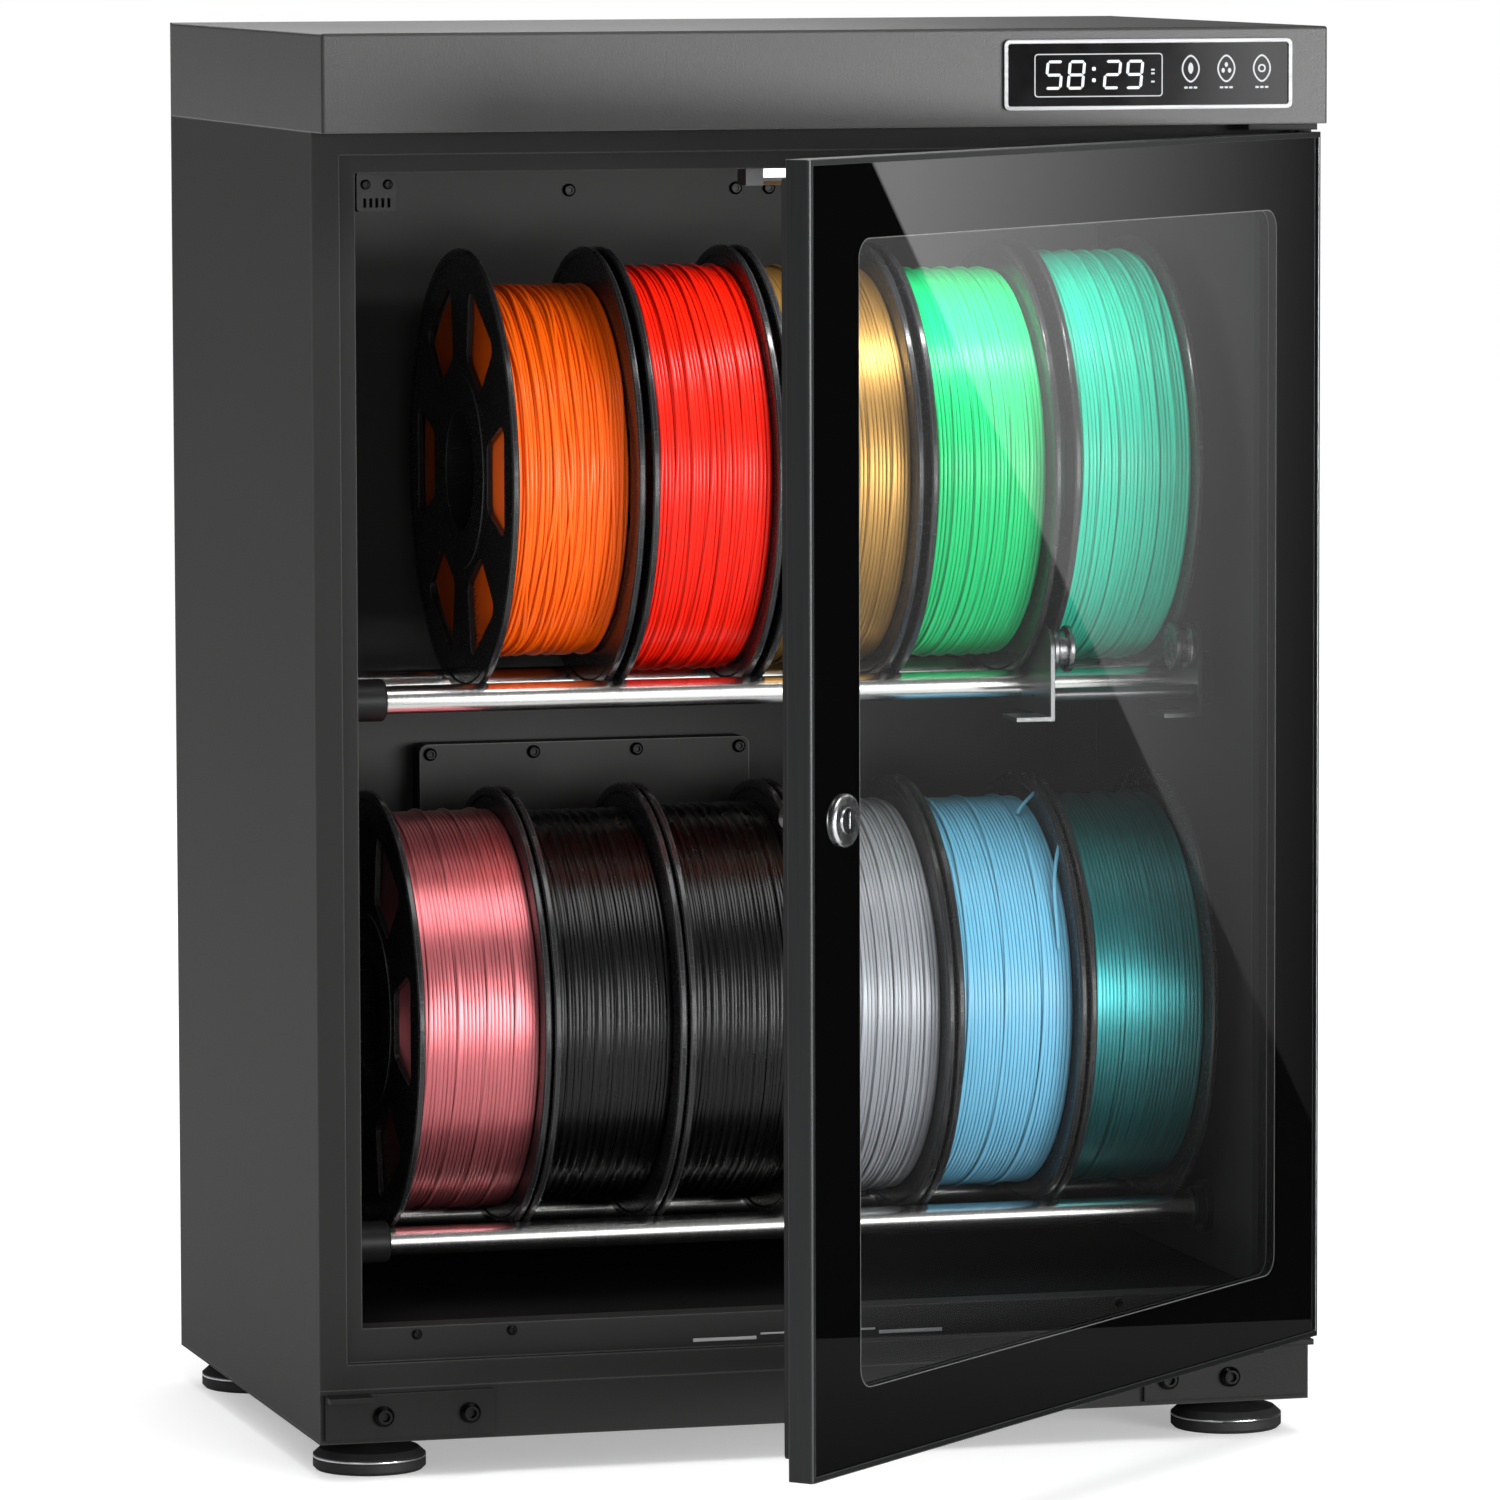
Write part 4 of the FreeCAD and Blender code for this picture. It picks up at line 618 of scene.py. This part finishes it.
def ring_block(centre, x_low, x_high, inner, outer):
    """A closed ring of rectangular section about an axis along X."""
    shape = bmesh.new()
    loops = []
    for step in range(CORE_STEPS):
        angle = 2 * math.pi * step / CORE_STEPS
        loops.append([shape.verts.new((x, centre.y + radius * math.cos(angle),
                                       centre.z + radius * math.sin(angle)))
                      for x, radius in ((x_low, inner), (x_high, inner), (x_high, outer), (x_low, outer))])
    for step, loop in enumerate(loops):
        after = loops[(step + 1) % CORE_STEPS]
        for corner in range(4):
            following = (corner + 1) % 4
            shape.faces.new((loop[corner], loop[following], after[following], after[corner]))
    return mesh_from("core", shape)


# Wound radius in mm, number of loose turns, and sway of the layer and of the loose turns in mm
WOUND = {
    "orange": (84, 17, 0.70, 4.6), "red": (92, 7, 0.40, 2.0), "gold": (91, 5, 0.25, 1.0),
    "green": (89, 6, 0.30, 1.6), "mint": (94, 6, 0.40, 2.0), "pink": (91, 4, 0.20, 0.8),
    "black_left": (89, 12, 0.35, 1.8), "black_right": (90, 12, 0.35, 1.8), "grey": (90, 7, 0.30, 1.4),
    "blue": (90, 3, 0.12, 0.6), "teal": (90, 4, 0.20, 0.8),
}
FLANGE_GAP = 0.4 * MM
CORE_DEPTH = 1.6 * THREAD
SEED_STEP = 3.1


def wind_spools():
    """One winding for each spool, between its flanges."""
    tree = thread_tree()
    for number, (colour, (wound, loose, sway, stray)) in enumerate(WOUND.items()):
        low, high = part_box("filament_" + colour)
        middle = middle_of("filament_" + colour)
        radius = wound * MM
        width = high.x - low.x - 2 * FLANGE_GAP
        core = ring_block(middle, low.x + THREAD, high.x - THREAD, HUB, radius - CORE_DEPTH)
        winding = tree.grow(
            "winding_" + colour, core, Centre=(low.x + FLANGE_GAP, middle.y, middle.z), Width=width,
            Radius=radius, Hub=HUB, Thread=THREAD, Turns=(width - THREAD) / THREAD,
            LooseTurns=float(loose), Rings=int((radius - HUB) / THREAD) - 1, Wander=sway * MM,
            Stray=stray * MM, Seed=SEED_STEP * number, Finish=thread_finish[colour])
        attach(winding, "spool_" + colour)
        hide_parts("filament_" + colour)


wind_spools()

# The blue thread's end: distance in from the flange in mm, degrees above the front, and radius in mm
LED_OUT = ((9.8, 68.5, 89.8), (8.6, 70, 91.6), (4.2, 72, 94.2), (-0.3, 74, 96.6))
LED_IN = ((-0.3, 48.5, 96.6), (1.3, 46, 95.0), (3.0, 42.5, 93.2), (4.6, 38, 91.8), (5.8, 32, 90.9),
          (6.3, 25, 90.2), (6.5, 18, 89.4))
END_STEPS, END_SIDES = 8, 12


def tie_off():
    """The blue thread's end, led out through the flange and back in."""
    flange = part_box("filament_blue")[1].x
    middle = middle_of("filament_blue")
    points, edges = [], []
    for path in (LED_OUT, LED_IN):
        edges += [(len(points) + step, len(points) + step + 1) for step in range(len(path) - 1)]
        for inset, degrees, radius in path:
            angle = math.radians(degrees)
            points.append((flange - inset * MM, middle.y - radius * MM * math.cos(angle),
                           middle.z + radius * MM * math.sin(angle)))
    mesh = bpy.data.meshes.new("tie_off_path")
    mesh.from_pydata(points, edges, [])
    tree = Growth("laid_thread", Thread="Float", Finish="Material")
    line = tree.add("GeometryNodeMeshToCurve", {0: tree.source["Geometry"]}).outputs[0]
    bent = tree.add("GeometryNodeCurveSplineType", {0: line}, spline_type="CATMULL_ROM").outputs[0]
    values = {"Geometry": bent, "Resolution": END_STEPS}
    fine = tree.add("GeometryNodeSetSplineResolution", values).outputs[0]
    tree.end(tree.tube(fine, tree.math("MULTIPLY", tree.source["Thread"], 0.5), END_SIDES))
    end = tree.grow("tie_off_blue", mesh, Thread=THREAD, Finish=thread_finish["blue"])
    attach(end, "spool_blue")


tie_off()


# Control panel

HEAD_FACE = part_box("head_cover")[0].y
PANE_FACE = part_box("control_glass")[0].y
MARK_DEPTH, MARK_SUNK = 0.12 * MM, 0.02 * MM
CORNER_STEPS = 5


def flat_prism(shape, points, front=PANE_FACE, depth=MARK_DEPTH):
    """A plate of the given outline that stands out from a face."""
    rows = [[shape.verts.new((x, y, z)) for x, z in points] for y in (front - depth, front + MARK_SUNK)]
    shape.faces.new(rows[0])
    shape.faces.new(rows[1][::-1])
    count = len(points)
    for here in range(count):
        after = (here + 1) % count
        shape.faces.new((rows[0][here], rows[1][here], rows[1][after], rows[0][after]))


def flat_ring(shape, outer, inner, front=PANE_FACE, depth=MARK_DEPTH):
    """A band between two outlines of equal count that stands out from a face."""
    top, foot = front - depth, front + MARK_SUNK
    loops = [[shape.verts.new((x, y, z)) for x, z in points]
             for points, y in ((outer, top), (inner, top), (inner, foot), (outer, foot))]
    count = len(outer)
    for here in range(count):
        after = (here + 1) % count
        for first, second in zip(loops, loops[1:] + loops[:1]):
            shape.faces.new((first[here], first[after], second[after], second[here]))


def soft_box(x, z, width, height, radius):
    """Points of a rounded rectangle about a centre."""
    points = []
    for corner, (side, end) in enumerate(((1, 1), (-1, 1), (-1, -1), (1, -1))):
        for step in range(CORNER_STEPS + 1):
            angle = math.pi / 2 * (corner + step / CORNER_STEPS)
            points.append((x + side * (width / 2 - radius) + radius * math.cos(angle),
                           z + end * (height / 2 - radius) + radius * math.sin(angle)))
    return points


OVAL_PINCH = 0.25
OVAL_STEPS, PETAL_STEPS = 28, 16


def oval(x, z, width, height, count=OVAL_STEPS):
    """Points of an upright oval about a centre, drawn in towards its ends."""
    points = []
    for step in range(count):
        angle = 2 * math.pi * step / count
        rise = math.sin(angle)
        points.append((x + width / 2 * math.cos(angle) * (1 - OVAL_PINCH * rise * rise),
                       z + height / 2 * rise))
    return points


# The surround's lip, its corners outside and inside, and how far its front edges are softened
SURROUND_LIP = 1.8 * MM
SURROUND_CORNER, SURROUND_INNER_CORNER = 2.6 * MM, 1.2 * MM
SURROUND_SOFT = 0.35 * MM
PANE_OVERLAP, PANE_CORNER = 0.1 * MM, 1.3 * MM
SHARP_ANGLE = math.radians(70)
CLOSE = 0.01 * MM


def control_surround():
    """The bright surround with its crisp corners, and the dark touch pane that fills it."""
    low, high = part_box("control_bezel")
    middle = middle_of("control_bezel")

    def outline(inset, radius):
        """The bezel's outline, drawn in."""
        return soft_box(middle.x, middle.z, high.x - low.x - 2 * inset, high.z - low.z - 2 * inset, radius)

    shape = bmesh.new()
    flat_ring(shape, outline(0, SURROUND_CORNER), outline(SURROUND_LIP, SURROUND_INNER_CORNER),
              HEAD_FACE, HEAD_FACE - low.y)
    rims = [edge for edge in shape.edges if edge.calc_face_angle() > SHARP_ANGLE
            and all(vert.co.y < low.y + CLOSE for vert in edge.verts)]
    soften(shape, rims, SURROUND_SOFT)
    surround = mesh_piece("panel_surround", shape, bright_alu, "cabinet")
    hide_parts("control_bezel")

    shape = bmesh.new()
    flat_prism(shape, outline(SURROUND_LIP - PANE_OVERLAP, PANE_CORNER), HEAD_FACE, HEAD_FACE - PANE_FACE)
    pane = mesh_piece("touch_panel", shape, touch_pane, "cabinet")
    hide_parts("control_glass")


control_surround()

# Segments lit for each digit: top, upper left, upper right, middle, lower left, lower right, bottom
LIT = {"5": "1101011", "8": "1111111", "2": "1011101", "9": "1111011"}
DIGIT_WIDTH, DIGIT_HEIGHT = 6.6 * MM, 11.6 * MM
BAR_TIP, BAR_GAP = 0.625 * MM, 0.18 * MM
SLANT = 0.09
DIGITS = (("5", 97.2 * MM), ("8", 107.4 * MM), ("2", 124.0 * MM), ("9", 134.2 * MM))
DIGIT_Z = 606.6 * MM
COLON_X, COLON_RISES = 119.3 * MM, (3.4 * MM, 8.4 * MM)
COLON_DOT, COLON_CORNER = 1.7 * MM, 0.6 * MM


def seven_segments(shape, digit, x, z):
    """One slanted digit of seven bars, its lower left corner at x and z."""
    half = DIGIT_HEIGHT / 2
    near, inner = BAR_GAP, BAR_GAP + BAR_TIP

    def level(rise):
        """A lying bar at a height."""
        return [(near, rise), (inner, rise - BAR_TIP), (DIGIT_WIDTH - inner, rise - BAR_TIP),
                (DIGIT_WIDTH - near, rise), (DIGIT_WIDTH - inner, rise + BAR_TIP), (inner, rise + BAR_TIP)]

    def upright(side, low):
        """A standing bar half a digit high, from a height."""
        high = low + half
        return [(side, low + near), (side + BAR_TIP, low + inner), (side + BAR_TIP, high - inner),
                (side, high - near), (side - BAR_TIP, high - inner), (side - BAR_TIP, low + inner)]

    bars = (level(DIGIT_HEIGHT), upright(0, half), upright(DIGIT_WIDTH, half), level(half),
            upright(0, 0), upright(DIGIT_WIDTH, 0), level(0))
    for lit, points in zip(LIT[digit], bars):
        if lit == "1":
            flat_prism(shape, [(x + across + SLANT * rise, z + rise) for across, rise in points])


def display_digits():
    """Four lit digits and a colon."""
    shape = bmesh.new()
    for digit, x in DIGITS:
        seven_segments(shape, digit, x, DIGIT_Z)
    for rise in COLON_RISES:
        flat_prism(shape, soft_box(COLON_X, DIGIT_Z + rise, COLON_DOT, COLON_DOT, COLON_CORNER))
    mesh_piece("display_digits", shape, digit_light, "cabinet")


display_digits()

# The display's outline: middle, size, corners outside and inside, and line
DISPLAY_MIDDLE, DISPLAY_SIZE = (121.5 * MM, 612.2 * MM), (59 * MM, 19 * MM)
DISPLAY_CORNER, DISPLAY_INNER_CORNER = 1.6 * MM, 1.2 * MM
DISPLAY_LINE = 0.45 * MM
# Small dashes beside the digits: place, heights, and width, height and corner
UNIT_X, UNIT_RISES = 146.5 * MM, (2.6 * MM, 6.2 * MM, 7.8 * MM)
UNIT_DASH = (1.6 * MM, 0.8 * MM, 0.2 * MM)
# The keys' places, their ovals, and the row of dashes below each
KEYS, KEY_Z = (164 * MM, 180.5 * MM, 197 * MM), 614.7 * MM
KEY_OUTER, KEY_INNER = (8.4 * MM, 12.2 * MM), (7.0 * MM, 10.6 * MM)
DASH_STEP, DASH_DROP = 2.2 * MM, 8.3 * MM
KEY_DASH = (1.6 * MM, 0.9 * MM, 0.25 * MM)
# The signs in the keys: a drop, three petals and a ring
DROP_RISE, DROP_SIZE = 0.2 * MM, (2.4 * MM, 5.0 * MM)
PETAL_REACH, PETAL_SIZE = 1.7 * MM, (1.6 * MM, 2.2 * MM)
RING_OUTER, RING_INNER = (3.6 * MM, 3.6 * MM, 1.7 * MM), (2.2 * MM, 2.2 * MM, 1.05 * MM)


def control_marks():
    """The display's outline, its unit dashes and three touch keys."""
    shape = bmesh.new()
    width, height = DISPLAY_SIZE
    flat_ring(shape, soft_box(*DISPLAY_MIDDLE, width, height, DISPLAY_CORNER),
              soft_box(*DISPLAY_MIDDLE, width - 2 * DISPLAY_LINE, height - 2 * DISPLAY_LINE,
                       DISPLAY_INNER_CORNER))
    for x in KEYS:
        flat_ring(shape, oval(x, KEY_Z, *KEY_OUTER), oval(x, KEY_Z, *KEY_INNER))
        for step in (-1, 0, 1):
            flat_prism(shape, soft_box(x + step * DASH_STEP, KEY_Z - DASH_DROP, *KEY_DASH))
    left, middle, right = KEYS
    flat_prism(shape, oval(left, KEY_Z + DROP_RISE, *DROP_SIZE))
    for petal in range(3):
        angle = 2 * math.pi * petal / 3 + math.pi / 2
        flat_prism(shape, oval(middle + PETAL_REACH * math.cos(angle), KEY_Z + PETAL_REACH * math.sin(angle),
                               *PETAL_SIZE, PETAL_STEPS))
    flat_ring(shape, soft_box(right, KEY_Z, *RING_OUTER), soft_box(right, KEY_Z, *RING_INNER))
    for rise in UNIT_RISES:
        flat_prism(shape, soft_box(UNIT_X, DIGIT_Z + rise, *UNIT_DASH))
    mesh_piece("control_marks", shape, key_light, "cabinet")


control_marks()


# Small trim

RING_HEIGHT, RING_RADIUS, RING_THICKNESS = 5.9 * MM, 24.3 * MM, 0.85 * MM
RING_STEPS, RING_SIDES = 96, 8


def foot_rings():
    """The bright ring let into the edge of each levelling foot."""
    tree = Growth("foot_ring", Centre="Vector", Radius="Float", Thickness="Float", Finish="Material")
    values = {"Resolution": RING_STEPS, "Radius": tree.source["Radius"]}
    path = tree.add("GeometryNodeCurvePrimitiveCircle", values).outputs[0]
    values = {"Geometry": tree.tube(path, tree.source["Thickness"], RING_SIDES),
              "Translation": tree.source["Centre"]}
    tree.end(tree.add("GeometryNodeTransform", values).outputs[0])
    for foot in FEET:
        middle = middle_of(foot)
        ring = tree.grow(foot.replace("foot", "ring"), bpy.data.meshes.new("none"),
                         Centre=(middle.x, middle.y, RING_HEIGHT), Radius=RING_RADIUS,
                         Thickness=RING_THICKNESS, Finish=lock_chrome)
        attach(ring, foot)


foot_rings()


def soft_block(shape, low, high, soft):
    """A box between two corners, its edges softened."""
    made = bmesh.ops.create_cube(shape, size=1.0)["verts"]
    for vert in made:
        vert.co = [start if part < 0 else end for part, start, end in zip(vert.co, low, high)]
    edges = {edge for vert in made for edge in vert.link_edges}
    soften(shape, list(edges), soft)


SILL_FACE = 18 * MM
STRIP_PROUD, STRIP_SUNK, STRIP_SOFT = 0.24 * MM, 0.1 * MM, 0.08 * MM
# Start, end, foot and top of each run, in mm
STRIP_RUNS = ((-57.5, -28.3, 53.4, 55.0), (-26.5, 26.5, 55.4, 56.3), (28.3, 57.5, 53.4, 55.0))


def sill_strip():
    """The bright stepped strip along the middle of the sill's face."""
    shape = bmesh.new()
    for start, end, foot, top in STRIP_RUNS:
        soft_block(shape, (start * MM, SILL_FACE - STRIP_PROUD, foot * MM),
                   (end * MM, SILL_FACE + STRIP_SUNK, top * MM), STRIP_SOFT)
    mesh_piece("sill_strip", shape, strip_steel, "cabinet")


sill_strip()


# Studio

def flat_card(name, corners, finish):
    """A flat face of the studio, which is no part of the object."""
    mesh = bpy.data.meshes.new(name)
    mesh.from_pydata(corners, [], [range(len(corners))])
    mesh.materials.append(finish)
    card = add_object(name, mesh)
    return card


def mirrored_card(name, corners, finish):
    """A studio card that only mirrors see."""
    card = flat_card(name, corners, finish)
    card.visible_camera = False
    card.visible_diffuse = False
    card.visible_shadow = False
    card.visible_transmission = False


def glow(name):
    """A black finish that gives off white light."""
    return Finish(name, Roughness=1.0, Specular_IOR_Level=0.0, Base_Color=grey(0.0), Emission_Color=grey(1.0))


# The pane mirrors a tall card to the right of the cabinet: light above a slanting edge, dark below it
CARD_X, CARD_NEAR, CARD_FAR, CARD_TOP = 0.55, -0.32, 0.32, 0.8
CARD_LIGHT = 2.0
# Y and Z of the slanting edge's ends, and how soft it is
EDGE_START, EDGE_END = (-0.123, 0.569), (0.103, 0.086)
EDGE_SOFT = 0.004
# Where the light fades towards the back and downwards, and the share of it that rests there
BACK_FADE, BACK_REST, BACK_POWER = (-0.104, 0.1), 0.16, 1.5
DOWN_FADE, DOWN_REST = (0.08, 0.56), 0.3
# A dim card on the floor, which the pane mirrors below the light, with its glow from left to right
FLAG_NEAR, FLAG_FAR, FLAG_LEFT, FLAG_FAR_LEFT = -0.36, 0.2, 0.02, 0.27
FLAG_GLOW, FLAG_FADE = (0.03, 0.12), (0.05, 0.5)


def slanting_light():
    """A card of light that fades towards the back and downwards, cut off along the slanting edge."""
    look = glow("card_light")
    place = look.axes(look.coords())
    slope = (EDGE_END[1] - EDGE_START[1]) / (EDGE_END[0] - EDGE_START[0])
    drop = look.math("MULTIPLY", look.math("SUBTRACT", place["Y"], EDGE_START[0]), slope)
    edge = look.math("ADD", drop, EDGE_START[1])
    above = look.spread(look.math("SUBTRACT", place["Z"], edge), 0.0, 1.0, 0.0, EDGE_SOFT)
    across = look.math("POWER", look.spread(place["Y"], 1.0, BACK_REST, *BACK_FADE), BACK_POWER)
    down = look.spread(place["Z"], DOWN_REST, 1.0, *DOWN_FADE)
    shown = look.math("MULTIPLY", above, across)
    look.set("Emission Strength", look.math("MULTIPLY", shown, look.math("MULTIPLY", down, CARD_LIGHT)))
    corners = [(CARD_X, CARD_NEAR, 0), (CARD_X, CARD_FAR, 0), (CARD_X, CARD_FAR, CARD_TOP),
               (CARD_X, CARD_NEAR, CARD_TOP)]
    mirrored_card("slanting_light", corners, look.material)


def floor_flag():
    """A dim card just above the floor beside the door."""
    look = glow("dark_flag")
    look.set("Emission Strength", look.spread(look.axes(look.coords())["X"], *FLAG_GLOW, *FLAG_FADE))
    corners = [(FLAG_LEFT, FLAG_NEAR, MM), (CARD_X, FLAG_NEAR, MM), (CARD_X, FLAG_FAR, MM),
               (FLAG_FAR_LEFT, FLAG_FAR, MM)]
    mirrored_card("floor_flag", corners, look.material)


slanting_light()
floor_flag()

LAMP_X, LAMP_DROP, LAMP_DEPTH = (LAMP_LOW.x + LAMP_HIGH.x) / 2, 3 * MM, 10 * MM
LAMP_PLACE = (LAMP_X, LAMP_LOW.y, LAMP_LOW.z - LAMP_DROP)
# Place, target, width, height and power in watts
LIGHTS = {
    "front_softbox": ((2.15, -3.4, 0.5), (0, 0.05, 0.32), 1.7, 0.9, 140),
    "low_strip": ((0.85, -3.3, 0.24), (0, 0.05, 0.3), 0.9, 0.36, 30),
    "lamp_light": (LAMP_PLACE, (LAMP_X, 0.2, 0.3), LAMP_RIGHT - LAMP_LEFT, LAMP_DEPTH, 0.3),
    "left_softbox": ((-2.6, -2.8, 1.2), (0, 0, 0.3), 1.4, 1.4, 8),
    "back_softbox": ((-0.1, 2.4, 1.75), (0, 0.15, 0.63), 1.8, 0.9, 17),
    "top_softbox": ((0.2, -0.9, 2.9), (0, 0.1, 0.3), 2.0, 1.6, 40),
}
# The lamps leave out the door's pane, so that it mirrors the cards and not them
unlit_pane = bpy.data.collections.new("unlit_pane")
unlit_pane.objects.link(nodes["door_glass"])
unlit_pane.collection_objects[0].light_linking.link_state = "EXCLUDE"


def soft_light(name, place, target, width, height, power):
    """A broad soft lamp that does not show as a white patch in the clear pane."""
    data = bpy.data.lights.new(name, "AREA")
    data.shape = "RECTANGLE"
    data.size = width
    data.size_y = height
    data.energy = power
    light = bpy.data.objects.new(name, data)
    light.location = place
    light.rotation_mode = "QUATERNION"
    light.rotation_quaternion = (Vector(target) - light.location).to_track_quat("-Z", "Y")
    light.light_linking.receiver_collection = unlit_pane
    scene.collection.objects.link(light)
    return light


lights = {name: soft_light(name, *values) for name, values in LIGHTS.items()}
lights["back_softbox"].visible_camera = False

ROOM_LIGHT, MIRRORED_ROOM = 0.8, 0.14


def white_room():
    """An even pale surround: soft light on the object, dim in mirrors, white where the camera sees it."""
    world = bpy.data.worlds.new("studio")
    scene.world = world
    world.use_nodes = True
    room = Nodes(world.node_tree)
    shade = world.node_tree.nodes["Background"].inputs
    mirrored = room.add("ShaderNodeLightPath").outputs["Is Glossy Ray"]
    around = room.spread(mirrored, ROOM_LIGHT, MIRRORED_ROOM)
    room.join(shade["Color"], grey(1.0))
    room.join(shade["Strength"], room.math("MAXIMUM", room.seen_white(), around))


white_room()

FLOOR_REACH, FLOOR_GLOW = 30, 0.36


def pale_floor():
    """A wide pale floor that keeps the object's shadow."""
    look = Finish("pale_floor", Roughness=0.9, Specular_IOR_Level=0.0, Emission_Color=grey(1.0))
    soft = look.noise(look.coords(), scale=3)
    look.set("Base Color", look.blend(soft, grey(0.80), grey(0.83)))
    look.set("Emission Strength", look.math("MULTIPLY", look.seen_white(), FLOOR_GLOW))
    corners = [(side * FLOOR_REACH, end * FLOOR_REACH, 0)
               for side, end in ((-1, -1), (1, -1), (1, 1), (-1, 1))]
    flat_card("floor", corners, look.material)


pale_floor()


# Camera at the photograph's viewing angle

PHOTO_SIZE = 1500
FOCAL_PIXELS = 9366.2
YAW, PITCH, ROLL = math.radians(15.348), math.radians(5.366), math.radians(-0.163)
CAMERA_PLACE = (-1.1190, -3.9478, 0.7023)
SENSOR, FAR_CLIP = 36, 100


def photo_camera():
    """The camera that was fitted to the cabinet's corners."""
    data = bpy.data.cameras.new("photo_view")
    data.sensor_width = SENSOR
    data.lens = FOCAL_PIXELS / PHOTO_SIZE * SENSOR
    data.clip_end = FAR_CLIP
    camera = bpy.data.objects.new("photo_view", data)
    forward = Vector((math.sin(YAW) * math.cos(PITCH), math.cos(YAW) * math.cos(PITCH), -math.sin(PITCH)))
    right = Vector((math.cos(YAW), -math.sin(YAW), 0))
    up = right.cross(forward)
    right_rolled = right * math.cos(ROLL) + up * math.sin(ROLL)
    up_rolled = up * math.cos(ROLL) - right * math.sin(ROLL)
    turn = Matrix((right_rolled, up_rolled, -forward)).transposed().to_4x4()
    camera.matrix_world = Matrix.Translation(CAMERA_PLACE) @ turn
    scene.collection.objects.link(camera)
    scene.camera = camera


photo_camera()
